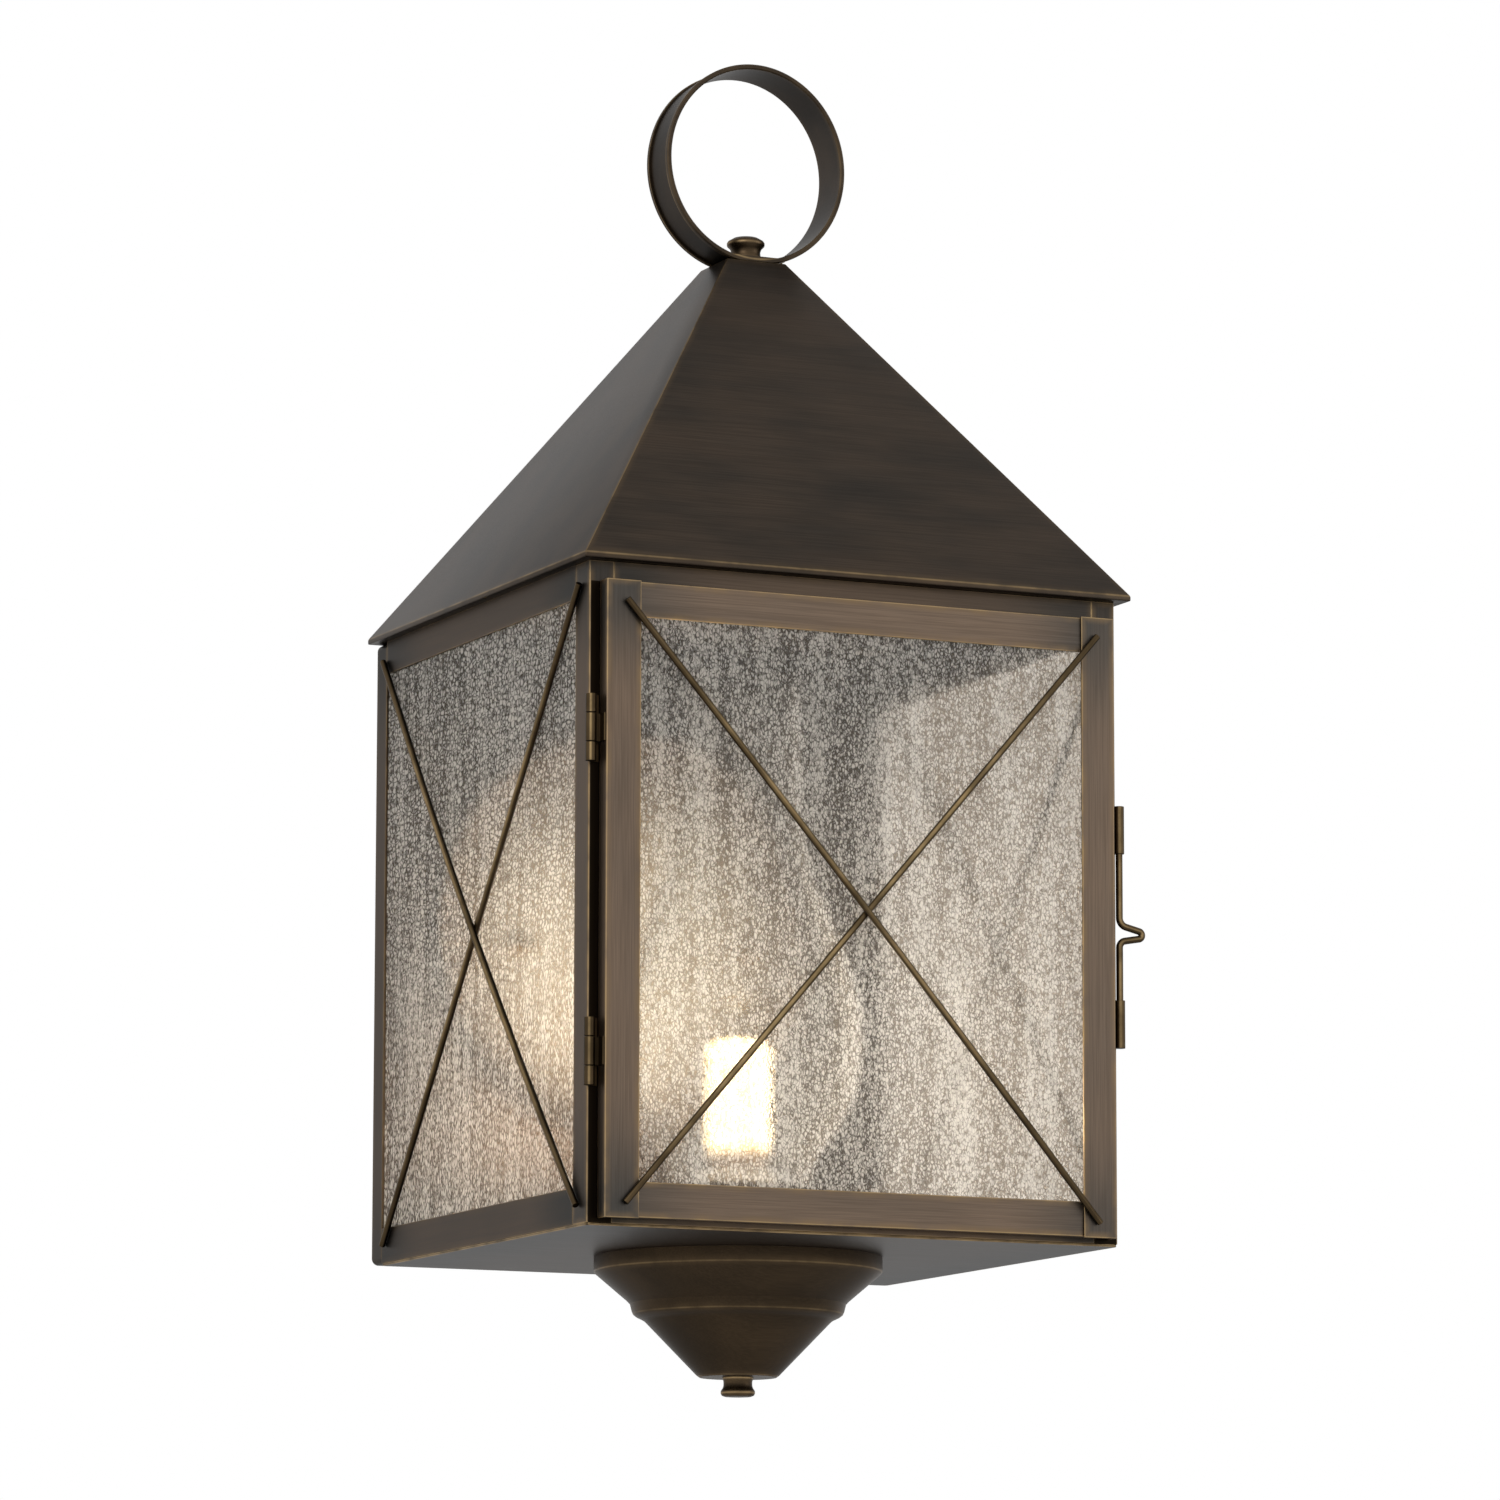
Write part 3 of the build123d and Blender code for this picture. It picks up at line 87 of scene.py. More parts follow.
# Corners closer than this are one, in a CAD node's mesh and in a spun one
CAD_MERGE = 0.002 * MM
SPUN_MERGE = 0.01 * MM
# A dressed node loses its edges below the one angle, and those above the other are rounded
FLAT_ANGLE = math.radians(0.6)
SHARP_ANGLE = math.radians(40)

# Outlines of the turned pieces: radius and height in mm, from the piece's foot or from its top
KNOB_OUTLINE = (
    (0, 0), (8.3, 0), (8.3, 0.9), (7.45, 2.4), (7.3, 4.2), (7.9, 6.0), (9.3, 7.4), (9.5, 7.9), (9.5, 9.0),
    (8.9, 9.9), (6.3, 11.45), (3.0, 12.15), (0, 12.2))
KNOB_RIDGES = ((9.5, 8.5), (8.3, 0.5))
CANOPY_OUTER = (
    (71.1, 0.0), (71.1, -7.4), (54.8, -21.3), (53.2, -23.0), (52.3, -26.6), (51.6, -28.1), (50.2, -29.2),
    (46.4, -31.0), (20.4, -57.9), (19.0, -58.9), (5.0, -58.9))
CANOPY_INNER = (
    (5.0, -57.9), (18.7, -57.9), (19.8, -57.2), (45.8, -30.2), (49.6, -28.4), (50.7, -27.4), (51.3, -26.4),
    (52.2, -22.6), (53.9, -20.4), (70.1, -6.9), (70.1, 0.0))
CANOPY_RIDGES = ((71.1, -7.2), (51.7, -28.0), (19.6, -58.5))
FINIAL_OUTLINE = (
    (4.9, 0), (7.6, 0), (7.6, -0.8), (7.15, -1.7), (7.05, -3.0), (7.15, -4.3), (7.5, -5.3), (8.2, -6.3),
    (8.45, -6.9), (8.45, -7.9), (7.9, -8.9), (6.6, -9.4), (0, -9.4))
FINIAL_RIDGES = ((7.6, -0.4), (8.45, -7.7))
CHIMNEY_OUTER = (
    (35.0, 0.0), (34.8, 6.0), (35.0, 11.6), (37.0, 16.5), (40.6, 22.0), (44.5, 27.8), (47.5, 32.4),
    (51.6, 38.4), (55.5, 44.8), (58.0, 51.0), (59.7, 58.9), (60.7, 68.0), (61.0, 78.0), (61.0, 86.0),
    (60.0, 95.5), (58.0, 103.9), (54.9, 114.5), (51.4, 125.2), (47.6, 135.2), (43.0, 145.8), (38.4, 156.1),
    (35.1, 167.0), (32.6, 180.4), (31.2, 196.0), (30.5, 214.0), (30.4, 232.0), (30.6, 246.0), (31.0, 257.0))
CHIMNEY_WALL = 2.0
BULB_FOOT = ((0.0, 0.0), (12.0, 0.0), (13.6, 6.0), (15.2, 12.5))


def srgb(red, green, blue):
    """A colour as seen on a screen, 0 to 255, as a linear one."""
    shares = (red / 255, green / 255, blue / 255)
    return tuple(v / 12.92 if v <= 0.04045 else ((v + 0.055) / 1.055) ** 2.4 for v in shares)


def height(value):
    """A height in mm above the underside of the body as a Z in the frame, in metres."""
    return value * MM - BRACKET_HEIGHT


# Settings that a user would change

def colour_setting(name, description, default):
    return FloatVectorProperty(
        name=name, description=description, subtype="COLOR", size=3, min=0, max=1, default=default)


def share_setting(name, description, default, most=1):
    return FloatProperty(
        name=name, description=description, subtype="FACTOR", min=0, max=most, default=default)


def length_setting(name, description, default, least, usual_most):
    return FloatProperty(
        name=name, description=description, unit="LENGTH", min=least, soft_max=usual_most, default=default)


def angle_setting(name, description, degrees):
    return FloatProperty(name=name, description=description, subtype="ANGLE", default=math.radians(degrees))


class LanternMetal(bpy.types.PropertyGroup):
    """Colours and wear of the patina metal, with its painted shade and painted highlights"""

    cool: colour_setting(
        "Cool bronze", "Patina at the ends of a piece, where nobody handles it", srgb(71, 68, 64))
    warm: colour_setting("Warm bronze", "Patina in the middle of a piece", srgb(111, 95, 81))
    brass: colour_setting("Bare brass", "Metal laid bare along the edges", srgb(172, 146, 106))
    halo: colour_setting("Thin patina", "Patina worn thin beside the edges", srgb(124, 103, 76))
    # Painted shade: near black, laid on the strip of the posts beside the door that the door's side shades
    painted_recess_shade: colour_setting("Painted recess shade", "Painted shade in the recess beside the door", srgb(20, 15, 9))
    # Painted shade: these factors darken whole pieces against the door, standing for how the light falls on
    # the body, the roof, the ring, the side rails and the pan
    body_shade: share_setting("Body shade", "Brightness of the body beside the door's", 0.62, most=2)
    roof_shade: share_setting("Roof shade", "Brightness of the roof beside the door's", 0.38, most=2)
    ring_shade: share_setting("Ring shade", "Brightness of the ring beside the door's", 0.3, most=2)
    rail_shade: share_setting(
        "Side rail shade", "Brightness of the side rails and the pan beside the door's", 0.42, most=2)
    spun_dark: colour_setting("Spun bronze, dark", "Dark patches of the spun parts", srgb(50, 42, 33))
    spun_light: colour_setting("Spun bronze, light", "Light patches of the spun parts", srgb(76, 62, 46))
    edge_dim: share_setting("Slanting dimness", "Share of light that the patina reflects at a slant", 0.72)
    rod: colour_setting("Rod patina", "Dark antique brass of the rods and hinges", srgb(74, 61, 43))
    # Painted shade round the sides of the rods and a painted highlight along their crown
    rod_side_shade: colour_setting("Rod side shade", "Painted shade round the sides of the rods", srgb(30, 24, 17))
    rod_highlight: colour_setting("Rod highlight", "Painted highlight along the crown of the rods", srgb(146, 124, 88))
    edge_width: length_setting("Edge wear width", "Width of the bare line along an edge", 0.75 * MM, 0, 0.005)
    halo_width: length_setting(
        "Edge halo width", "Width of the thinned patina beside an edge", 4 * MM, 0, 0.03)
    streak_width: length_setting("Brush mark width", "Width of one brush mark", 0.7 * MM, 0.0001, 0.005)
    streak_length: length_setting("Brush mark length", "Length of one brush mark", 45 * MM, 0.001, 0.2)
    patch_size: length_setting("Patch size", "Size of the cloudy patches in the patina", 30 * MM, 0.001, 0.2)
    end_length: length_setting(
        "Dark end", "Length over which a piece darkens towards its ends", 62 * MM, 0.001, 0.2)
    roughness: share_setting("Roughness", "Roughness of the satin patina", 0.4)


class LanternGlass(bpy.types.PropertyGroup):
    """The seedy window glass"""

    clear_tint: colour_setting("Clear tint", "Light passed where a seed is thin", (0.93, 0.92, 0.9))
    dark_tint: colour_setting("Dark tint", "Light passed between the seeds", (0.4, 0.35, 0.295))
    haze: colour_setting("Haze", "Colour of the light that the seeds scatter", (0.85, 0.82, 0.77))
    scatter_low: share_setting(
        "Scatter between seeds", "Share of the light scattered between the seeds", 0.11)
    scatter_high: share_setting("Scatter in seeds", "Share of the light scattered by a seed", 0.6)
    bend: share_setting("Bend", "How strongly the seeds bend the view", 0.3)
    seed_width: length_setting("Seed width", "Width of one seed in the glass", 1.35 * MM, 0.0002, 0.01)
    seed_height: length_setting("Seed height", "Height of one seed in the glass", 2.3 * MM, 0.0002, 0.01)
    dot_size: length_setting(
        "Dot size", "Size of the round seeds at the top of the side panes", 2.4 * MM, 0.0002, 0.01)
    wave: length_setting("Wave", "How far the pane's faces wander from flat", 0.12 * MM, 0, 0.001)


class LanternParts(bpy.types.PropertyGroup):
    """Sizes of the details on the pieces"""

    edge_bevel: length_setting(
        "Sheet edge rounding", "Rounding of the cut edges of the sheet metal", 0.25 * MM, 0, 0.001)
    ring_rim: length_setting("Ring rim", "Width of the chamfer on the ring's rims", 0.6 * MM, 0, 0.001)
    flutes: IntProperty(
        name="Reflector flutes", description="Flutes round the reflector's rim", min=12, max=180, default=84)
    flute_depth: length_setting("Flute depth", "Depth of the flutes", 0.8 * MM, 0, 0.003)


class LanternLamp(bpy.types.PropertyGroup):
    """The lit lamp"""

    glow: colour_setting("Glow", "Colour of the lit bulb", srgb(255, 226, 176))
    light: colour_setting("Light", "Colour of the light that the bulb throws", srgb(255, 244, 228))
    glow_strength: FloatProperty(
        name="Glow strength", description="Brightness of the bulb's envelope", min=0, soft_max=50, default=6)
    light_power: FloatProperty(
        name="Lamp power", description="Light that the bulb throws", unit="POWER", min=0, soft_max=50,
        default=1.35)


class LanternStage(bpy.types.PropertyGroup):
    """Camera and studio"""

    azimuth: angle_setting("Azimuth", "Camera's angle round the lantern, from straight in front", -24.6287)
    elevation: angle_setting("Elevation", "Camera's angle above the horizon", -8.8006)
    roll: angle_setting("Roll", "Camera's turn about its line of sight", 0.105)
    distance: FloatProperty(
        name="Distance", description="Distance from the camera to its target", unit="LENGTH", min=0.1,
        default=3.65244)
    target: FloatVectorProperty(
        name="Target", description="Point that the camera looks at", subtype="TRANSLATION", unit="LENGTH",
        size=3, default=(0.01075, -0.125, 0.08889))
    lens: FloatProperty(
        name="Focal length", description="Focal length on a 36 mm sensor, in mm", unit="CAMERA", min=1,
        default=175.504)
    floor_drop: FloatProperty(
        name="Floor drop", description="How far below the wall bracket the floor lies", unit="LENGTH",
        min=0.5, default=1.7)
    ambient: share_setting("Ambient light", "Strength of the even studio light", 0.62)
    key_power: FloatProperty(
        name="Key light", description="Power of the soft light from the front left", unit="POWER", min=0,
        soft_max=500, default=32)
    fill_power: FloatProperty(
        name="Fill light", description="Power of the soft light from the right", unit="POWER", min=0,
        soft_max=500, default=10)


class LanternSettings(bpy.types.PropertyGroup):
    """All settings of the lantern"""

    metal: PointerProperty(type=LanternMetal)
    glass: PointerProperty(type=LanternGlass)
    parts: PointerProperty(type=LanternParts)
    lamp: PointerProperty(type=LanternLamp)
    stage: PointerProperty(type=LanternStage)


def settings():
    return bpy.context.scene.lantern


# Materials

class Nodes:
    """A node tree under construction: adds nodes and links them."""

    def __init__(self, tree):
        self.tree = tree
        tree.nodes.clear()

    def node(self, kind, inputs=None, **options):
        made = self.tree.nodes.new("ShaderNode" + kind)
        for key, value in options.items():
            setattr(made, key, value)
        for key, value in (inputs or {}).items():
            if isinstance(value, bpy.types.NodeSocket):
                self.tree.links.new(value, made.inputs[key])
            else:
                made.inputs[key].default_value = value
        return made

    def first(self, kind, inputs):
        """A new node's first output."""
        return self.node(kind, inputs).outputs[0]

    def bump(self, strength, distance, height):
        return self.first("Bump", {"Strength": strength, "Distance": distance, "Height": height})

    def mix(self, share, first, second):
        return self.first("MixShader", {0: share, 1: first, 2: second})

    def calc(self, operation, *values, clamp=False):
        return self.node("Math", dict(enumerate(values)), operation=operation, use_clamp=clamp).outputs[0]

    def plus(self, first, second):
        return self.calc("ADD", first, second)

    def minus(self, first, second, clamp=False):
        return self.calc("SUBTRACT", first, second, clamp=clamp)

    def times(self, first, second):
        return self.calc("MULTIPLY", first, second)

    def apart(self, first, second):
        return self.calc("ABSOLUTE", self.minus(first, second))

    def from_ends(self, place, low, high):
        """Distance to the nearer one of two places."""
        return self.calc("MINIMUM", self.minus(place, low), self.minus(high, place))

    def reach_of(self, across, along):
        """Length of a line from its two legs."""
        return self.calc("SQRT", self.plus(self.times(across, across), self.times(along, along)))


class Finish(Nodes):
    """A material under construction, drawn in the piece's own coordinates."""

    def __init__(self, name):
        self.material = bpy.data.materials.new(name)
        self.material.use_nodes = True
        super().__init__(self.material.node_tree)
        self.object_place = self.node("TexCoord").outputs["Object"]

    def vector(self, operation, *values):
        return self.node("VectorMath", dict(enumerate(values)), operation=operation).outputs[0]

    def split(self, vector):
        return self.node("SeparateXYZ", {0: vector}).outputs

    def stretched(self, sizes, shift):
        """Object coordinates counted in the given sizes, in metres, and moved by shift."""
        counted = self.vector("MULTIPLY", self.object_place, tuple(1 / size for size in sizes))
        return self.vector("ADD", counted, shift)

    def grain(self, sizes, detail=2.0, roughness=0.5, shift=(0, 0, 0)):
        """Noise whose features have the given sizes along X, Y and Z, in metres."""
        return self.first("TexNoise", {
            "Vector": self.stretched(sizes, shift), "Scale": 1.0, "Detail": detail, "Roughness": roughness})

    def span(self, value, low, high, to_low=0.0, to_high=1.0):
        """Value between low and high, as a share between to_low and to_high, smoothly and clamped."""
        return self.node(
            "MapRange", {0: value, 1: low, 2: high, 3: to_low, 4: to_high}, interpolation_type="SMOOTHSTEP"
        ).outputs[0]

    def principled(self, colour, roughness, **inputs):
        """The main shader; a space in the name of an input is written as an underscore."""
        named = {key.replace("_", " "): value for key, value in inputs.items()}
        return self.first("BsdfPrincipled", {"Base Color": colour, "Roughness": roughness, **named})

    def blend(self, share, first, second):
        made = self.node("Mix", data_type="RGBA")
        for socket, value in ((made.inputs[0], share), (made.inputs[6], first), (made.inputs[7], second)):
            if isinstance(value, bpy.types.NodeSocket):
                self.tree.links.new(value, socket)
            elif isinstance(value, (int, float)):
                socket.default_value = value
            else:
                socket.default_value = (*value[:3], 1.0)
        return made.outputs[2]

    def surface(self, shader, see_through_for_lamps=None, where=None):
        """Ends the material.

        see_through_for_lamps is the tint that lets lamps shine through glass, and where is the share of the
        piece that does so."""
        if see_through_for_lamps is not None:
            clear = self.first("BsdfTransparent", {0: (*see_through_for_lamps, 1.0)})
            shadow = self.node("LightPath").outputs["Is Shadow Ray"]
            if where is not None:
                shadow = self.times(shadow, where)
            shader = self.mix(shadow, shader, clear)
        self.node("OutputMaterial", {0: shader})
        return self.material


def second_smallest(finish, a, b, c):
    """The middle one of three values: on a box, the distance to the nearest edge."""
    low = finish.calc("MINIMUM", a, b)
    high = finish.calc("MAXIMUM", a, b)
    return finish.calc("MAXIMUM", low, finish.calc("MINIMUM", high, c))


def box_edges(finish, low, high, taper=(0.0, 0.0)):
    """Distance to the nearest edge of a box whose sides may lean in, by taper metres per metre of height."""
    x, y, z = finish.split(finish.object_place)
    centre = (low + high) / 2
    half = (high - low) / 2
    rise = finish.minus(z, low.z)
    gaps = []
    for value, middle, reach, lean in ((x, centre.x, half.x, taper[0]), (y, centre.y, half.y, taper[1])):
        off = finish.apart(value, middle)
        wall = finish.minus(reach, finish.times(rise, lean)) if lean else reach
        gaps.append(finish.apart(wall, off))
    tall = finish.minus(half.z, finish.apart(z, centre.z))
    gaps.append(finish.calc("ABSOLUTE", tall))
    return second_smallest(finish, *gaps)


def turned_edges(finish, axis_point, ridges):
    """Distance to the nearest of a turned piece's ridges, each a radius and a Z."""
    x, y, z = finish.split(finish.object_place)
    off_x = finish.minus(x, axis_point[0])
    off_y = finish.minus(y, axis_point[1])
    radius = finish.reach_of(off_x, off_y)
    nearest = None
    for ridge_radius, ridge_z in ridges:
        across = finish.minus(radius, ridge_radius)
        along = finish.minus(z, ridge_z)
        gap = finish.reach_of(across, along)
        nearest = gap if nearest is None else finish.calc("MINIMUM", nearest, gap)
    return nearest


def dimmed(metal):
    return (metal.edge_dim, metal.edge_dim, metal.edge_dim, 1.0)


def patina(name, grain_axis="Z", edges=None, shade=1.0, shift=0.0, bare=1.0, ends=None, painted_recess_shade=None,
           tone="sheet"):
    """Brushed dark bronze whose edges are worn to brass.

    grain_axis is the direction of the brush marks, edges makes the distance to the piece's edges, shade
    scales its brightness as painted shade for how the light falls on the piece, and bare its wear, ends is
    its reach along the grain axis, towards which it darkens, painted_recess_shade makes the share of painted
    shade in a recess, and tone is sheet, rod or spun."""
    metal = settings().metal
    finish = Finish(name)
    along = "XYZ".index(grain_axis)
    fine = [metal.streak_width] * 3
    fine[along] = metal.streak_length
    cloud = [metal.patch_size] * 3
    cloud[along] = metal.patch_size * 3
    moved = (shift, shift * 2.7, shift * 1.3)
    streaks = finish.grain(fine, detail=3.0, roughness=0.65, shift=moved)
    clouds = finish.grain(cloud, detail=3.0, roughness=0.55, shift=moved)
    light = finish.span(clouds, 0.25, 0.75)
    if ends is not None:
        place = finish.split(finish.object_place)[along]
        middle = finish.span(finish.from_ends(place, *ends), 0.0, metal.end_length)
        light = finish.plus(finish.times(middle, 0.78), finish.times(light, 0.3))
        light = finish.minus(light, 0.08, clamp=True)
    else:
        light = finish.plus(finish.times(light, 0.55), 0.2)
    tones = {
        "sheet": (metal.cool, metal.warm), "rod": (metal.rod, metal.halo),
        "spun": (metal.spun_dark, metal.spun_light)}
    # shade darkens both colours: painted shade
    cool, warm = ([c * shade for c in shades] for shades in tones[tone])
    colour = finish.blend(light, cool, warm)
    mark = finish.span(streaks, 0.3, 0.7, 0.86, 1.14)
    colour = finish.vector("MULTIPLY", colour, finish.first("CombineXYZ", {0: mark, 1: mark, 2: mark}))
    rough = finish.plus(metal.roughness - 0.06, finish.times(streaks, 0.14))
    if edges is not None:
        gap = edges(finish)
        wander = finish.grain((14 * MM,) * 3, detail=3.0, shift=moved)
        halo = finish.times(
            finish.span(gap, 0.0, metal.halo_width, 1.0, 0.0),
            finish.span(wander, 0.3, 0.7, 0.1, 0.75 * bare))
        colour = finish.blend(halo, colour, [c * (0.4 + 0.6 * shade) for c in metal.halo])
        line = finish.times(
            finish.span(gap, 0.0, metal.edge_width, 1.0, 0.0),
            finish.span(wander, 0.25, 0.65, 0.3 * bare, min(1.0, bare)))
        colour = finish.blend(line, colour, metal.brass)
        rough = finish.minus(rough, finish.times(line, 0.08))
    # Painted shade: near black where a recess is shaded
    if painted_recess_shade is not None:
        colour = finish.blend(painted_recess_shade(finish), colour, metal.painted_recess_shade)
    bump = finish.bump(0.25, 0.05 * MM, streaks)
    return finish.surface(finish.principled(
        colour, rough, Metallic=1.0, Normal=bump, Specular_Tint=dimmed(metal)))


def brass_with_painted_crown(name, shade=1.0, shift=0.0, lowest=0.55, highest=0.95, reach=None):
    """Antique brass for rods and pins, with painted shade round the sides and a painted highlight along the
    crown.

    It reads the piece's own crown attribute, from -1 at the back to 1 at the front. reach is the lowest and
    highest Z of a crossed rod: its painted highlight fades at its ends and in its middle, where the rods
    cross."""
    metal = settings().metal
    finish = Finish(name)
    crown = finish.node("Attribute", attribute_name="crown").outputs["Fac"]
    patches = finish.grain((16 * MM,) * 3, detail=3.0, shift=(shift, shift * 1.7, 2.0))
    fine = finish.grain((1.2 * MM,) * 3, detail=2.0, shift=(shift, 0.0, 4.0))
    mottle = finish.span(finish.plus(patches, finish.times(fine, 0.2)), 0.38, 0.78, 0.35, 1.0)
    # Painted highlight: the surface that faces the crown direction turns bright, broken up by a random mottle
    worn = finish.times(finish.span(crown, lowest, highest), mottle)
    if reach is not None:
        z = finish.split(finish.object_place)[2]
        highlight_reach = finish.span(finish.from_ends(z, *reach), 8 * MM, 85 * MM, 0.05, 1.0)
        from_middle = finish.apart(z, (reach[0] + reach[1]) / 2)
        highlight_reach = finish.times(highlight_reach, finish.span(from_middle, 2 * MM, 18 * MM, 0.3, 1.0))
        worn = finish.times(worn, highlight_reach)
    base = finish.blend(
        finish.span(patches, 0.3, 0.7), [c * 0.7 * shade for c in metal.rod],
        [c * 1.15 * shade for c in metal.rod])
    # Painted shade: the sides of the piece, turned away from the crown direction, go near black
    base = finish.blend(finish.span(crown, 0.15, 0.7), [c * shade for c in metal.rod_side_shade], base)
    colour = finish.blend(worn, base, metal.rod_highlight)
    return finish.surface(finish.principled(
        colour, metal.roughness, Metallic=1.0, Specular_Tint=dimmed(metal)))


def plain_metal(name, colour, roughness):
    """Bare metal with fine turning marks and a little tarnish."""
    finish = Finish(name)
    mark = 1.5 * MM
    marks = finish.grain((mark, mark, mark * 0.25), detail=3.0)
    darkening = finish.grain((14 * MM,) * 3, detail=3.0)
    tint = finish.blend(finish.span(darkening, 0.35, 0.7), colour, [c * 0.72 for c in colour])
    rough = finish.plus(roughness, finish.times(marks, 0.15))
    bump = finish.bump(0.2, 0.04 * MM, marks)
    return finish.surface(finish.principled(tint, rough, Metallic=1.0, Normal=bump))


def cells(finish, sizes, wander):
    """Worm-like cells of the given sizes, from 0 on the dark lines between them to about 0.5 inside."""
    place = finish.stretched(sizes, (0, 0, 0))
    swing = finish.node("TexNoise", {"Vector": place, "Scale": 0.9, "Detail": 1.0}).outputs["Color"]
    swing = finish.vector("SUBTRACT", swing, (0.5, 0.5, 0.5))
    swing = finish.vector("MULTIPLY", swing, (wander, wander, wander))
    return finish.node("TexVoronoi", {"Vector": finish.vector("ADD", place, swing), "Scale": 1.0},
                       feature="DISTANCE_TO_EDGE").outputs["Distance"]


def seedy_glass(name, thin, outer_side, middle, streaky):
    """Pane glass full of fine seeds, drawn on its outer face.

    thin is the axis across the pane, outer_side the sign of its outer face on that axis, middle the place of
    the pane's middle on it, and streaky the heights between which round seeds turn into tall ones."""
    glass = settings().glass
    finish = Finish(name)

    def flat(sizes):
        """The sizes of a pattern that runs straight through the pane."""
        return [1.0 if axis == thin else size for axis, size in enumerate(sizes)]

    width, tall, dot = glass.seed_width, glass.seed_height, glass.dot_size
    seeds = cells(finish, flat((width, width, tall)), 1.1)
    if streaky is not None:
        share = finish.span(finish.split(finish.object_place)[2], streaky[0], streaky[1], 1.0, 0.0)
        runny = cells(finish, flat((width * 1.5, width * 1.5, tall * 1.6)), 1.1)
        dotted = cells(finish, flat((dot * 1.5, dot * 1.5, dot)), 0.8)
        seeds = finish.plus(finish.times(runny, share), finish.times(dotted, finish.minus(1.0, share)))
    run = finish.grain(flat((9 * MM, 9 * MM, 160 * MM)))
    speck = finish.grain(flat((1.6 * MM, 1.6 * MM, 3.4 * MM)))
    streaks = finish.plus(
        finish.times(finish.minus(run, 0.5), 0.5), finish.times(finish.minus(speck, 0.5), 0.9))
    seeded = finish.span(finish.plus(finish.times(seeds, 1.5), streaks), -0.02, 0.5)
    place = finish.split(finish.object_place)[thin]
    outer = finish.calc("GREATER_THAN", finish.times(finish.minus(place, middle), outer_side), 0.0)
    passed = finish.blend(outer, (1.0, 1.0, 1.0), finish.blend(seeded, glass.dark_tint, glass.clear_tint))
    bent = finish.bump(finish.times(outer, glass.bend), 0.8 * MM, seeds)
    clear = finish.first("BsdfRefraction", {"Color": passed, "Roughness": 0.0, "IOR": 1.1, "Normal": bent})
    front = finish.principled((*glass.haze, 1.0), 0.35, Normal=finish.bump(0.6, 0.3 * MM, seeds))
    back = finish.first("BsdfTranslucent", {"Color": (*glass.haze, 1.0)})
    extra = finish.times(seeded, glass.scatter_high - glass.scatter_low)
    share = finish.times(outer, finish.plus(glass.scatter_low, extra))
    pane = finish.mix(share, clear, finish.mix(0.45, front, back))
    return finish.surface(pane, see_through_for_lamps=(0.8, 0.79, 0.77))


def clear_glass(name, tint, haze):
    """Blown glass with faint drawn lines; haze is the share of light that it scatters."""
    finish = Finish(name)
    lines = finish.grain((5 * MM, 5 * MM, 60 * MM))
    colour = finish.blend(lines, tint, [c * 0.95 for c in tint])
    glass = finish.principled(
        colour, 0.0, Transmission_Weight=1.0, IOR=1.45, Normal=finish.bump(0.1, 0.2 * MM, lines))
    glow = finish.first("BsdfTranslucent", {"Color": (*tint, 1.0)})
    return finish.surface(finish.mix(haze, glass, glow), see_through_for_lamps=(0.94, 0.94, 0.94))


def smooth_matter(name, colour, roughness, speck=0.06, size=3 * MM):
    """Porcelain, rubber or plastic with a faint mottle."""
    finish = Finish(name)
    mottle = finish.grain((size,) * 3, detail=3.0)
    tint = finish.blend(
        mottle, [c * (1 - speck) for c in colour], [min(1.0, c * (1 + speck)) for c in colour])
    rough = finish.plus(roughness, finish.times(mottle, 0.1))
    return finish.surface(finish.principled(tint, rough))


# Meshes

def round_off(bm, geom, radius, segments, affect="EDGES"):
    bmesh.ops.bevel(bm, geom=geom, offset=radius, offset_type="OFFSET", segments=segments, profile=0.5,
                    affect=affect, clamp_overlap=True, material=-1)


def spin_round(bm, axis, steps):
    """Spins all of bm once round an axis through the origin, and merges where it meets itself."""
    bmesh.ops.spin(bm, geom=bm.verts[:] + bm.edges[:], cent=(0, 0, 0), axis=axis, angle=math.tau, steps=steps,
                   use_merge=True, use_duplicate=False)
    bmesh.ops.remove_doubles(bm, verts=bm.verts, dist=SPUN_MERGE)


def new_piece(name, bm, material, nodes, smooth_angle=35.0):
    """Makes a piece from a bmesh; it stands for the given CAD nodes and rides on their body."""
    mesh = bpy.data.meshes.new(name)
    bmesh.ops.recalc_face_normals(bm, faces=bm.faces)
    for face in bm.faces:
        face.smooth = True
    bm.to_mesh(mesh)
    bm.free()
    mesh.set_sharp_from_angle(angle=math.radians(smooth_angle))
    mesh.materials.append(material)
    piece = bpy.data.objects.new(name, mesh)
    bpy.context.scene.collection.objects.link(piece)
    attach(piece, BODIES[nodes[0]])
    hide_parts(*nodes)
    return piece


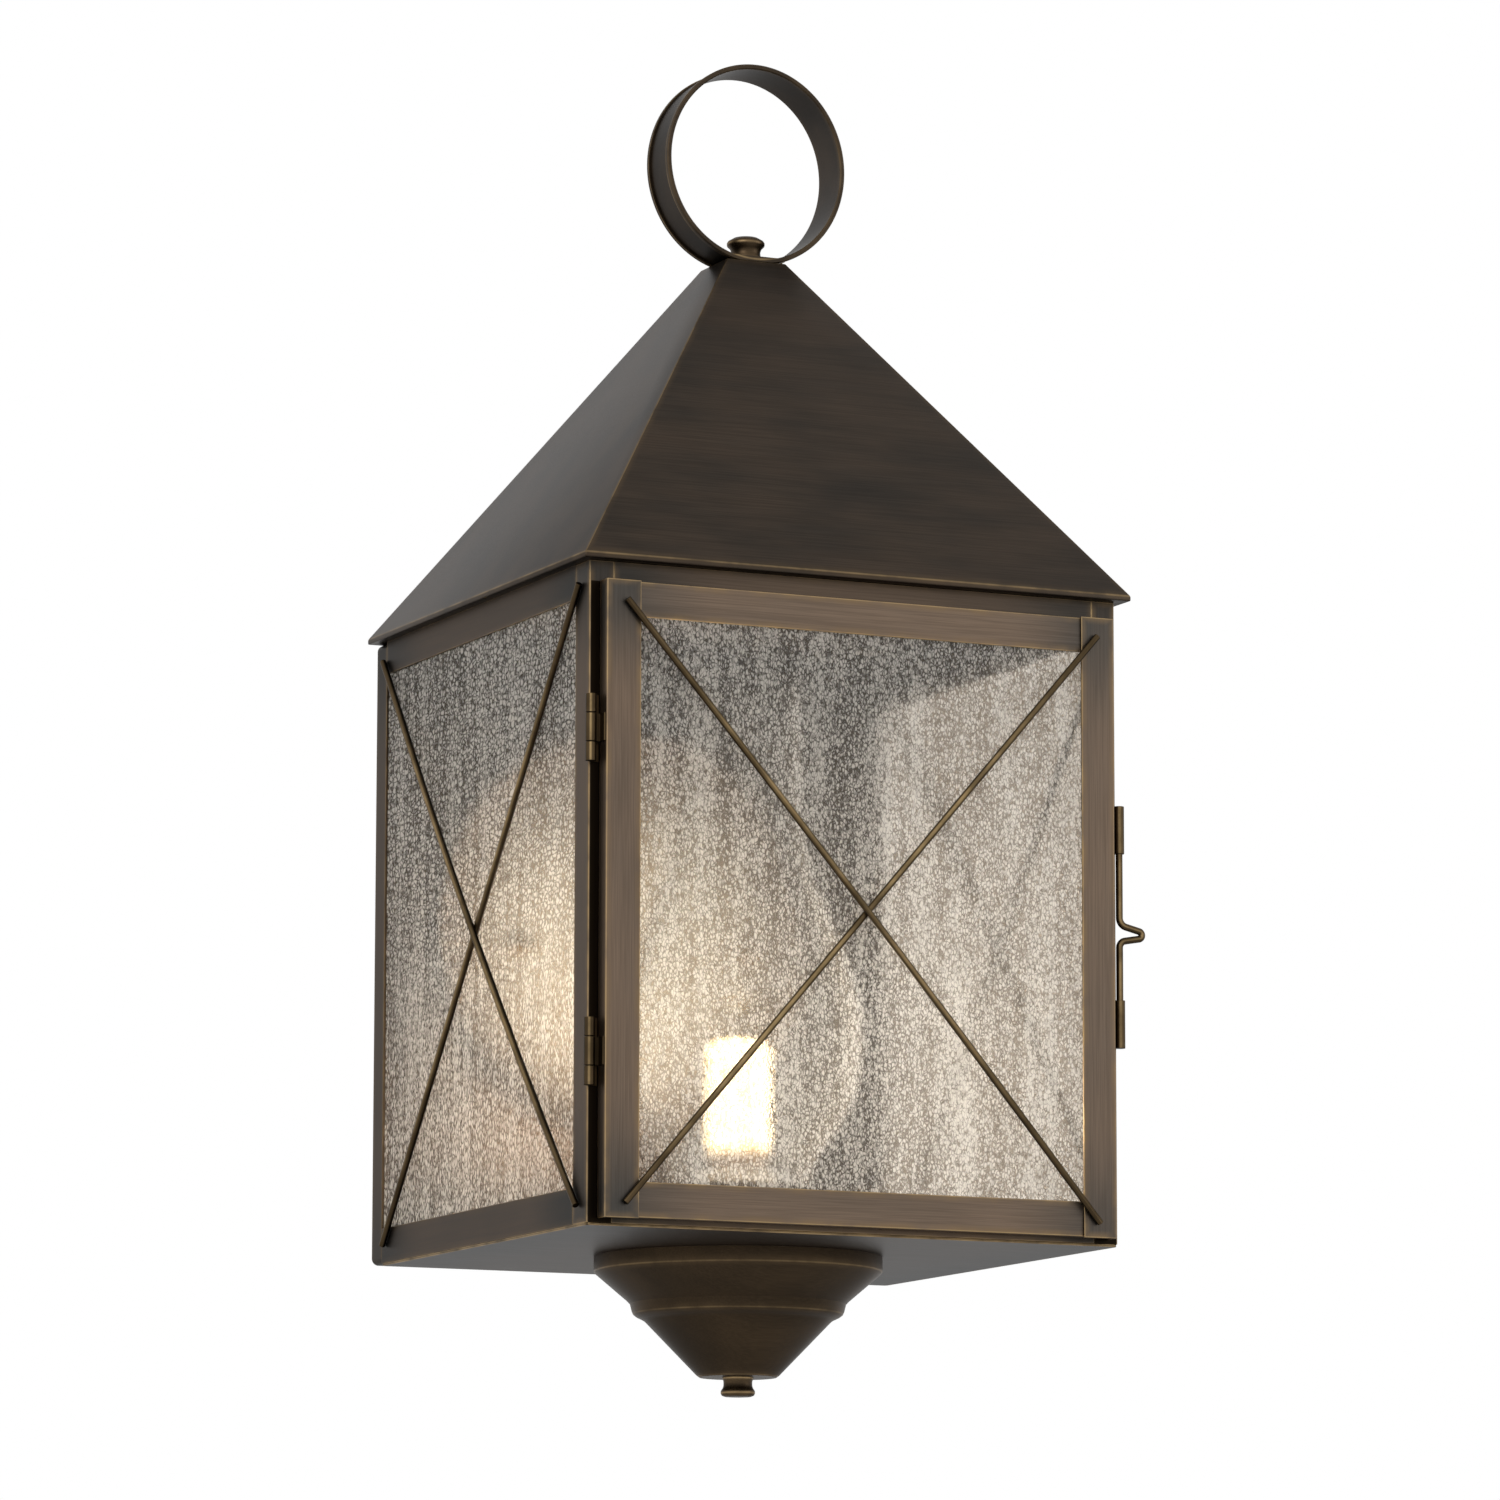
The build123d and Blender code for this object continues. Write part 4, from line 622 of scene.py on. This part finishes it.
def dress(node, material, bevel=None, crown=None):
    """A copy of a CAD node with merged corners and rounded edges, in its place.

    crown is the direction that the crown attribute is measured along."""
    bm = bmesh.new()
    bm.from_mesh(NODES[node].data)
    bmesh.ops.remove_doubles(bm, verts=bm.verts, dist=CAD_MERGE)
    bmesh.ops.dissolve_limit(bm, angle_limit=FLAT_ANGLE, verts=bm.verts, edges=bm.edges)
    bevel = settings().parts.edge_bevel if bevel is None else bevel
    sharp = [e for e in bm.edges if e.is_manifold and e.calc_face_angle(0.0) > SHARP_ANGLE]
    if bevel > 0:
        round_off(bm, sharp, bevel, 2)
    if crown is not None:
        bm.normal_update()
        layer = bm.verts.layers.float.new("crown")
        for vert in bm.verts:
            vert[layer] = vert.normal.dot(Vector(crown))
    piece = new_piece(node + "_dressed", bm, material, [node])
    shading = piece.modifiers.new("Flat faces", "WEIGHTED_NORMAL")
    shading.keep_sharp = True
    return piece


def coat(nodes, material):
    """Gives CAD nodes whose shape is right their finish."""
    for node in nodes:
        NODES[node].data.materials.clear()
        NODES[node].data.materials.append(material)


def raised(points, base):
    """Points of an outline, in mm, as radii and Z in metres from base."""
    return [(radius * MM, base + z * MM) for radius, z in points]


def outline(points, rounded=(), segments=4, closed=True):
    """A bmesh with one chain of edges through points; rounded gives the corners to round and their radii."""
    bm = bmesh.new()
    corners = [bm.verts.new((radius, 0.0, z)) for radius, z in points]
    for first, second in zip(corners, corners[1:] + (corners[:1] if closed else [])):
        bm.edges.new((first, second))
    for index, radius in rounded:
        round_off(bm, [corners[index]], radius, segments, affect="VERTICES")
    return bm


def turn(bm, centre=(0.0, -LAMP_DEPTH, 0.0), steps=96):
    """Spins the outline in bm round a vertical axis through centre and closes its poles."""
    spin_round(bm, (0, 0, 1), steps)
    bmesh.ops.translate(bm, verts=bm.verts, vec=Vector(centre))


def sheet_metal(nodes, grain_axis, shade=1.0, bare=1.0, painted_recess_shade=None):
    """Dresses flat pieces of sheet metal; their wear follows their own box."""
    along = "XYZ".index(grain_axis)
    for index, node in enumerate(nodes):
        low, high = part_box(node)
        finish = patina("Patina " + node, grain_axis, lambda f, a=low, b=high: box_edges(f, a, b), shade,
                        shift=1.7 * index + len(node), bare=bare, ends=(low[along], high[along]), painted_recess_shade=painted_recess_shade)
        dress(node, finish)


# Operators, one for each piece or group of like pieces

class LANTERN_OT_body(bpy.types.Operator):
    """Dress the posts, rails, header, sill, back pan and bottom plate"""

    bl_idname = "lantern.body"
    bl_label = "Body"

    def execute(self, context):
        shade = settings().metal.body_shade
        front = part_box("post_left")[0].y
        door_reach = 139.2 * MM
        recess_top = height(305)

        # Painted shade: on the posts' front face, the narrow strip beside the door and below a set height,
        # shaded by the door's side, turns near black
        def recess(finish):
            x, y, z = finish.split(finish.object_place)
            inside = finish.calc("LESS_THAN", finish.calc("ABSOLUTE", x), door_reach)
            inside = finish.times(inside, finish.calc("LESS_THAN", z, recess_top))
            return finish.times(inside, finish.span(y, front + 0.2 * MM, front + 0.8 * MM, 0.95, 0.0))

        # Painted shade: body_shade darkens the posts, header and sill, rail_shade the side rails and the back
        # pan, and the bottom plate is darkened most
        sheet_metal(["post_left", "post_right"], "Z", shade, painted_recess_shade=recess)
        side = settings().metal.rail_shade
        rails = ["rail_top_left", "rail_top_right", "rail_bottom_left", "rail_bottom_right"]
        sheet_metal(rails, "Y", side, bare=0.3)
        sheet_metal(["header_front", "sill_front"], "X", shade, bare=0.5)
        sheet_metal(["bottom_plate"], "X", side * 0.7)
        sheet_metal(["back_pan"], "Z", side, bare=0.3)
        return {"FINISHED"}


class LANTERN_OT_door(bpy.types.Operator):
    """Dress the door's stiles and rails"""

    bl_idname = "lantern.door"
    bl_label = "Door frame"

    def execute(self, context):
        sheet_metal(["door_stile_left", "door_stile_right"], "Z")
        sheet_metal(["door_rail_top", "door_rail_bottom"], "X")
        return {"FINISHED"}


class LANTERN_OT_roof(bpy.types.Operator):
    """Dress the hip roof"""

    bl_idname = "lantern.roof"
    bl_label = "Roof"

    def execute(self, context):
        nodes = [node for node, slot in SLOTS.items() if slot == "bronze_roof"]
        boxes = [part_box(node) for node in nodes]
        low = Vector([min(box[0][axis] for box in boxes) for axis in range(3)])
        high = Vector([max(box[1][axis] for box in boxes) for axis in range(3)])
        lip = 2.5 * MM
        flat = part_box("roof_top")[1].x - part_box("roof_top")[0].x
        hem = 14 * MM
        sheet = 1 * MM
        centre = (low + high) / 2
        bm = bmesh.new()
        base = bmesh.ops.create_grid(bm, x_segments=1, y_segments=1, size=0.5)["verts"]
        bmesh.ops.scale(bm, verts=base, vec=(high.x - low.x - 2 * hem, high.y - low.y - 2 * hem, 1.0))
        bmesh.ops.translate(bm, verts=base, vec=(centre.x, centre.y, low.z))
        rim = [e for e in bm.edges if e.is_boundary]
        steps = [(high.x - low.x, high.y - low.y, low.z), (high.x - low.x, high.y - low.y, low.z + lip),
                 (flat, flat, high.z)]
        size = (high.x - low.x - 2 * hem, high.y - low.y - 2 * hem)
        bmesh.ops.delete(bm, geom=bm.faces[:], context="FACES_ONLY")
        for width, depth, level in steps:
            made = bmesh.ops.extrude_edge_only(bm, edges=rim)["geom"]
            corners = [item for item in made if isinstance(item, bmesh.types.BMVert)]
            rim = [item for item in made if isinstance(item, bmesh.types.BMEdge)]
            bmesh.ops.translate(bm, verts=corners, vec=-centre)
            bmesh.ops.scale(bm, verts=corners, vec=(width / size[0], depth / size[1], 0.0))
            bmesh.ops.translate(bm, verts=corners, vec=(centre.x, centre.y, level))
            size = (width, depth)
        bmesh.ops.contextual_create(bm, geom=rim)
        bmesh.ops.recalc_face_normals(bm, faces=bm.faces)
        folds = [e for e in bm.edges if e.is_manifold and e.calc_face_angle(0.0) > math.radians(20)]
        round_off(bm, folds, 0.6 * MM, 3)
        rise = high.z - low.z - lip
        taper = ((high.x - low.x - flat) / 2 / rise, (high.y - low.y - flat) / 2 / rise)
        eave = Vector((low.x, low.y, low.z + lip))
        # Painted shade: roof_shade darkens the roof
        finish = patina("Patina roof", "X", lambda f: box_edges(f, eave, high, taper),
                        settings().metal.roof_shade, shift=4.2, bare=0.42)
        piece = new_piece("roof_folded", bm, finish, nodes)
        wall = piece.modifiers.new("Sheet", "SOLIDIFY")
        wall.thickness = sheet
        wall.offset = -1.0
        wall.use_even_offset = True
        return {"FINISHED"}


class LANTERN_OT_ring(bpy.types.Operator):
    """Build the ring on the roof and the knob that holds it"""

    bl_idname = "lantern.ring"
    bl_label = "Ring and knob"

    def execute(self, context):
        low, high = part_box("top_ring")
        rim = settings().parts.ring_rim
        band = high.y - low.y
        wall = 2.5 * MM
        edge = 2.6 * MM
        step = 1.2 * MM
        half_width = (high.x - low.x) / 2
        half_height = 51.2 * MM
        centre = Vector((0.0, (low.y + high.y) / 2, high.z - half_height))
        bm = bmesh.new()
        mean = (half_width + half_height) / 2
        half = band / 2
        section = [
            (mean, rim - half), (mean, edge - half), (mean - step, edge - half), (mean - step, half - edge),
            (mean, half - edge), (mean, half - rim), (mean - rim, half), (mean - wall + rim, half),
            (mean - wall, half - rim), (mean - wall, rim - half), (mean - wall + rim, -half),
            (mean - rim, -half)]
        corners = [bm.verts.new((radius, y, 0.0)) for radius, y in section]
        for first, second in zip(corners, corners[1:] + corners[:1]):
            bm.edges.new((first, second))
        spin_round(bm, (0, 1, 0), 144)
        bmesh.ops.scale(bm, verts=bm.verts, vec=(half_width / mean, 1.0, half_height / mean))
        bmesh.ops.translate(bm, verts=bm.verts, vec=centre)
        seat = low.z + wall
        for vert in bm.verts:
            out = math.hypot(vert.co.x / half_width, (vert.co.z - centre.z) / half_height)
            vert.co.z = max(vert.co.z, low.z if out > 1 - wall / mean / 2 else seat)

        def rims(finish):
            x, y, z = finish.split(finish.object_place)
            side = finish.apart(y, centre.y)
            from_rim = finish.apart(half, side)
            from_step = finish.apart(half - edge, side)
            across = finish.calc("DIVIDE", finish.minus(x, centre.x), half_width)
            up = finish.calc("DIVIDE", finish.minus(z, centre.z), half_height)
            reach = finish.reach_of(across, up)
            from_outer = finish.calc("ABSOLUTE", finish.times(finish.minus(1.0, reach), mean))
            from_inner = finish.apart(from_outer, wall)
            on_rim = finish.plus(from_rim, finish.calc("MINIMUM", from_outer, from_inner))
            return finish.calc("MINIMUM", on_rim, finish.plus(from_step, from_outer))

        # Painted shade: ring_shade darkens the ring
        finish = patina("Patina ring", "X", rims, settings().metal.ring_shade, shift=2.0, bare=0.5)
        new_piece("ring_band", bm, finish, ["top_ring"])

        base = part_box("top_knob")[0].z
        bm = outline(raised(KNOB_OUTLINE, base), closed=False)
        turn(bm, (0.0, centre.y, 0.0), steps=48)
        finish = patina(
            "Patina knob", "X", lambda f: turned_edges(f, (0.0, centre.y), raised(KNOB_RIDGES, base)),
            shift=5.0, bare=0.35, tone="spun")
        new_piece("knob", bm, finish, ["top_knob"], smooth_angle=50)
        return {"FINISHED"}


class LANTERN_OT_canopy(bpy.types.Operator):
    """Build the spun canopy and its finial"""

    bl_idname = "lantern.canopy"
    bl_label = "Canopy"

    def execute(self, context):
        lamp_axis = (0.0, -LAMP_DEPTH)
        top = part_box("canopy")[1].z
        bm = outline(raised(CANOPY_OUTER + CANOPY_INNER, top), rounded=[(7, 1.2 * MM), (1, 0.8 * MM)])
        turn(bm, steps=128)
        finish = patina(
            "Patina canopy", "X", lambda f: turned_edges(f, lamp_axis, raised(CANOPY_RIDGES, top)),
            shift=3.0, bare=0.3, tone="spun")
        new_piece("canopy_spun", bm, finish, ["canopy"], smooth_angle=28)

        finial_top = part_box("finial")[1].z
        bm = outline(raised(FINIAL_OUTLINE, finial_top), closed=False)
        turn(bm, steps=64)
        finish = patina(
            "Patina finial", "X", lambda f: turned_edges(f, lamp_axis, raised(FINIAL_RIDGES, finial_top)),
            shift=6.0, bare=0.9, tone="spun")
        new_piece("finial_turned", bm, finish, ["finial"], smooth_angle=50)
        return {"FINISHED"}


class LANTERN_OT_rods(bpy.types.Operator):
    """Dress the crossed rods on the door and the sides"""

    bl_idname = "lantern.rods"
    bl_label = "Crossed rods"

    def execute(self, context):
        # Directions that the painted highlight on each rod faces: outwards on the sides, to the front left on
        # the door
        left, right, front = (-1, -0.5, 0), (1, -0.5, 0), (-0.35, -1, 0.1)
        for index, (node, crown) in enumerate((
            ("rod_inner_left", left), ("rod_outer_left", left), ("rod_inner_right", right),
            ("rod_outer_right", right), ("door_rod_inner", front), ("door_rod_outer", front),
        )):
            low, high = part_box(node)
            finish = brass_with_painted_crown(
                "Brass " + node, shift=2.3 * index, lowest=0.72, highest=0.98, reach=(low.z, high.z))
            dress(node, finish, bevel=0.3 * MM, crown=Vector(crown).normalized())
        return {"FINISHED"}


class LANTERN_OT_hinges(bpy.types.Operator):
    """Dress the hinges"""

    bl_idname = "lantern.hinges"
    bl_label = "Hinges"

    def execute(self, context):
        for index, node in enumerate(["hinge_frame_leaves", "hinge_door_leaves", "hinge_pins"]):
            # A thin painted highlight line along each knuckle, facing the front left
            finish = brass_with_painted_crown("Brass " + node, 0.95, shift=3.1 * index, lowest=0.93, highest=0.995)
            dress(node, finish, bevel=0.2 * MM, crown=Vector((-0.45, -1, 0)).normalized())
        return {"FINISHED"}


class LANTERN_OT_latch(bpy.types.Operator):
    """Dress the latch wire and its barrels"""

    bl_idname = "lantern.latch"
    bl_label = "Latch"

    def execute(self, context):
        for index, node in enumerate(["latch_barrels", "latch_wire"]):
            # A thin painted highlight line along the wire and the barrels, facing the front left
            finish = brass_with_painted_crown("Brass " + node, 1.05, shift=4.3 * index + 1.0, lowest=0.9, highest=0.99)
            dress(node, finish, bevel=0.2 * MM, crown=Vector((-0.3, -1, 0)).normalized())
        return {"FINISHED"}


class LANTERN_OT_windows(bpy.types.Operator):
    """Build the seedy panes of the sides and the door"""

    bl_idname = "lantern.windows"
    bl_label = "Glass panes"

    def execute(self, context):
        glass = settings().glass
        streaky = (height(60), height(190))
        grid = 6 * MM
        wander_size = 22 * MM
        for node, outer_side, turning in (("glass_left", -1, streaky), ("glass_right", 1, streaky),
                                          ("door_glass", -1, None)):
            low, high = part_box(node)
            size = high - low
            thin = min(range(3), key=lambda axis: size[axis])
            middle = (low[thin] + high[thin]) / 2
            bm = bmesh.new()
            bmesh.ops.create_cube(bm, size=1.0, matrix=Matrix.Translation((low + high) / 2) @ Matrix.Diagonal(
                (*size, 1.0)))
            for axis in range(3):
                if axis == thin:
                    continue
                cuts = int(size[axis] / grid)
                for cut in range(1, cuts):
                    at = low.copy()
                    at[axis] += size[axis] * cut / cuts
                    normal = Vector((0, 0, 0))
                    normal[axis] = 1
                    bmesh.ops.bisect_plane(bm, geom=bm.verts[:] + bm.edges[:] + bm.faces[:], plane_co=at,
                                           plane_no=normal)
            for vert in bm.verts:
                centred = abs(vert.co[thin] - middle)
                inwards = -1 if vert.co[thin] > middle else 1
                wander = 0.5 + 0.5 * noise.noise(vert.co / wander_size)
                if centred > size[thin] / 4:
                    vert.co[thin] += inwards * glass.wave * min(1.0, max(0.0, wander))
            finish = seedy_glass("Seedy glass " + node, thin, outer_side, middle, turning)
            new_piece(node + "_pane", bm, finish, [node])
        return {"FINISHED"}


class LANTERN_OT_reflector(bpy.types.Operator):
    """Build the reflector with its fluted rim"""

    bl_idname = "lantern.reflector"
    bl_label = "Reflector"

    def execute(self, context):
        parts = settings().parts
        low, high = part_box("reflector")
        centre = Vector(((low.x + high.x) / 2, high.y, (low.z + high.z) / 2))
        radius = (high.x - low.x) / 2
        thick = 0.6 * MM
        rim = radius - 15 * MM
        rise = 5 * MM
        flute_run_in = 8 * MM
        points = [(0, 0), (rim, 0), (radius, rise), (radius, rise + thick), (rim, thick), (0, thick)]
        bm = bmesh.new()
        corners = [bm.verts.new((r, 0.0, depth)) for r, depth in points]
        edges = [bm.edges.new(pair) for pair in zip(corners, corners[1:])]
        bmesh.ops.subdivide_edges(bm, edges=[edges[1], edges[3]], cuts=5)
        spin_round(bm, (0, 0, 1), parts.flutes * 6)
        for vert in bm.verts:
            out = math.hypot(vert.co.x, vert.co.y)
            share = min(1.0, max(0.0, (out - rim) / flute_run_in))
            wave = 0.5 - 0.5 * math.cos(math.atan2(vert.co.y, vert.co.x) * parts.flutes)
            vert.co.z -= 0.0 if share == 0 else min(share * parts.flute_depth * wave, vert.co.z * 0.6)
        bmesh.ops.rotate(bm, verts=bm.verts, cent=(0, 0, 0), matrix=Matrix.Rotation(math.radians(90), 3, "X"))
        bmesh.ops.translate(bm, verts=bm.verts, vec=centre)
        finish = Finish("Champagne reflector")
        x, _, z = finish.split(finish.object_place)
        reach = finish.reach_of(finish.minus(x, centre.x), finish.minus(z, centre.z))
        # Painted light: the reflector is bright in its middle and darkens towards the rim, standing for the
        # bulb's light falling off; noise makes the border uneven
        darkening = finish.plus(reach, finish.times(finish.grain((20 * MM,) * 3, detail=3.0), 24 * MM))
        colour = finish.blend(
            finish.span(darkening, radius - 55 * MM, radius + 14 * MM), srgb(226, 218, 202), srgb(112, 98, 84))
        shader = finish.principled(colour, 0.5, Metallic=0.6)
        new_piece("reflector_fluted", bm, finish.surface(shader), ["reflector"], smooth_angle=60)
        return {"FINISHED"}


class LANTERN_OT_lamp(bpy.types.Operator):
    """Build the chimney and the lit bulb, and finish the socket and gallery"""

    bl_idname = "lantern.lamp"
    bl_label = "Lamp"

    def execute(self, context):
        lamp = settings().lamp
        inner = tuple((radius - CHIMNEY_WALL, z) for radius, z in reversed(CHIMNEY_OUTER))
        bm = outline(raised(CHIMNEY_OUTER + inner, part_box("chimney_glass")[0].z))
        turn(bm, steps=96)
        blown = clear_glass("Chimney glass", (0.97, 0.975, 0.97), haze=0.012)
        new_piece("chimney_blown", bm, blown, ["chimney_glass"], smooth_angle=60)

        low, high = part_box("bulb_glass")
        base, top = low.z, high.z
        corner = 8 * MM
        side = (high.x - low.x) / 2
        points = raised(BULB_FOOT, base) + [(side, base + 15 * MM), (side, top), (0.0, top)]
        bm = outline(points, rounded=[(5, corner)], segments=8, closed=False)
        turn(bm, steps=64)
        finish = Finish("Lit bulb")
        z = finish.split(finish.object_place)[2]
        lit = finish.span(z, height(46), height(58))
        swirl = finish.span(finish.grain((6 * MM, 6 * MM, 12 * MM)), 0.2, 0.6, 0.75, 1.0)
        strength = finish.times(finish.times(lit, lamp.glow_strength), swirl)
        colour = finish.blend(lit, srgb(190, 170, 150), srgb(255, 236, 208))
        shader = finish.principled(colour, 0.35, Emission_Color=(*lamp.glow, 1.0), Emission_Strength=strength)
        open_part = finish.calc("GREATER_THAN", z, height(50))
        new_piece("bulb_lit", bm, finish.surface(shader, (1.0, 1.0, 1.0), open_part),
                  ["bulb_glass", "bulb_filament"], smooth_angle=60)

        light = bpy.data.lights.new("Lamp light", "POINT")
        light.energy = lamp.light_power
        light.color = lamp.light
        light.shadow_soft_size = 14 * MM
        holder = bpy.data.objects.new("Lamp light", light)
        holder.location = (0.0, -LAMP_DEPTH, (base + top) / 2 + 8 * MM)
        context.scene.collection.objects.link(holder)
        holder.parent = frame["bodies"]["bulb"]

        coat(["lamp_socket"], smooth_matter("Porcelain", srgb(228, 224, 214), 0.15))
        coat(["socket_shell", "bulb_base", "centre_tube", "tube_nuts"],
             plain_metal("Lacquered brass", srgb(200, 164, 96), 0.25))
        dress("gallery", patina("Patina gallery", "X", shift=8.0, tone="rod"), bevel=0.2 * MM)
        return {"FINISHED"}


class LANTERN_OT_fixings(bpy.types.Operator):
    """Finish the bracket, studs, nuts, screws, rivets, clips and bushings"""

    bl_idname = "lantern.fixings"
    bl_label = "Fixings"

    def execute(self, context):
        coat(["wall_bracket", "mounting_studs", "roof_stud", "roof_nut", "roof_screws", "reflector_rivets"],
             plain_metal("Zinc plate", srgb(176, 178, 178), 0.32))
        coat(["cap_nuts", "ground_screw"], plain_metal("Fixing brass", srgb(190, 158, 98), 0.28))
        coat(["glass_clips_left", "glass_clips_right", "door_clips"], patina("Patina clips", "Z", shift=9.0))
        coat(["wire_bushings"], smooth_matter("Black rubber", srgb(34, 34, 36), 0.6))
        return {"FINISHED"}


class LANTERN_OT_stage(bpy.types.Operator):
    """Set the camera, the lights, the floor and the white surroundings"""

    bl_idname = "lantern.stage"
    bl_label = "Studio"

    def execute(self, context):
        stage = settings().stage
        scene = context.scene
        scene.view_settings.view_transform = "Standard"

        back = Vector((math.sin(stage.azimuth) * math.cos(stage.elevation),
                       -math.cos(stage.azimuth) * math.cos(stage.elevation), math.sin(stage.elevation)))
        camera = bpy.data.objects.new("Camera", bpy.data.cameras.new("Camera"))
        camera.data.lens = stage.lens
        camera.data.sensor_width = 36.0
        camera.data.clip_start = 0.05
        camera.data.clip_end = 50.0
        turn_back = (-back).to_track_quat("-Z", "Y").to_matrix() @ Matrix.Rotation(stage.roll, 3, "Z")
        place = Vector(stage.target) + back * stage.distance
        camera.matrix_world = Matrix.Translation(place) @ turn_back.to_4x4()
        scene.collection.objects.link(camera)
        scene.camera = camera

        for name, power, place, size, aim, tint in (
            ("Key light", stage.key_power, (-2.2, -2.4, 1.7), 1.6, (0.0, -0.13, 0.05), (1.0, 0.98, 0.96)),
            ("Fill light", stage.fill_power, (2.4, -1.8, 0.6), 1.4, (0.0, -0.13, 0.0), (0.95, 0.97, 1.0)),
        ):
            lamp = bpy.data.lights.new(name, "AREA")
            lamp.energy = power
            lamp.size = size
            lamp.color = tint
            holder = bpy.data.objects.new(name, lamp)
            holder.location = place
            holder.rotation_euler = (Vector(aim) - Vector(place)).to_track_quat("-Z", "Y").to_euler()
            scene.collection.objects.link(holder)

        bm = bmesh.new()
        bmesh.ops.create_circle(bm, cap_ends=True, segments=96, radius=6.0)
        bmesh.ops.translate(bm, verts=bm.verts, vec=(0.0, 0.0, -stage.floor_drop))
        mesh = bpy.data.meshes.new("Floor")
        bm.to_mesh(mesh)
        bm.free()
        floor = bpy.data.objects.new("Floor", mesh)
        scene.collection.objects.link(floor)
        mesh.materials.append(smooth_matter("Pale floor", (0.82, 0.82, 0.82), 0.7, speck=0.01, size=200 * MM))

        world = bpy.data.worlds.new("Studio")
        scene.world = world
        world.use_nodes = True
        sky = Nodes(world.node_tree)
        rays = sky.node("LightPath").outputs
        seen = sky.calc("MAXIMUM", rays["Is Camera Ray"], rays["Is Glossy Ray"])
        seen = sky.calc("MAXIMUM", seen, rays["Is Transmission Ray"])
        white = (1.0, 1.0, 1.0, 1.0)
        even = sky.first("Background", {"Color": white, "Strength": stage.ambient})
        bright = sky.first("Background", {"Color": white, "Strength": 1.0})
        sky.node("OutputWorld", {0: sky.mix(seen, even, bright)})
        return {"FINISHED"}


STEPS = (
    LANTERN_OT_body, LANTERN_OT_door, LANTERN_OT_roof, LANTERN_OT_ring, LANTERN_OT_canopy, LANTERN_OT_rods,
    LANTERN_OT_hinges, LANTERN_OT_latch, LANTERN_OT_windows, LANTERN_OT_reflector, LANTERN_OT_lamp,
    LANTERN_OT_fixings, LANTERN_OT_stage,
)


class LANTERN_PT_panel(bpy.types.Panel):
    """Lists the lantern's pieces and settings"""

    bl_idname = "LANTERN_PT_panel"
    bl_label = "Wall lantern"
    bl_space_type = "VIEW_3D"
    bl_region_type = "UI"
    bl_category = "Lantern"

    def draw(self, context):
        column = self.layout.column(align=True)
        for step in STEPS:
            column.operator(step.bl_idname)
        lantern = settings()
        for group in (lantern.metal, lantern.glass, lantern.parts, lantern.lamp, lantern.stage):
            box = self.layout.box()
            for key in group.bl_rna.properties.keys():
                if key not in ("rna_type", "name"):
                    box.prop(group, key)


CLASSES = (LanternMetal, LanternGlass, LanternParts, LanternLamp, LanternStage, LanternSettings, *STEPS,
           LANTERN_PT_panel)


def register():
    for item in CLASSES:
        bpy.utils.register_class(item)
    bpy.types.Scene.lantern = PointerProperty(type=LanternSettings)


def unregister():
    del bpy.types.Scene.lantern
    for item in reversed(CLASSES):
        bpy.utils.unregister_class(item)


def main():
    register()
    for step in STEPS:
        group, name = step.bl_idname.split(".")
        getattr(getattr(bpy.ops, group), name)()


if __name__ == "__main__":
    main()
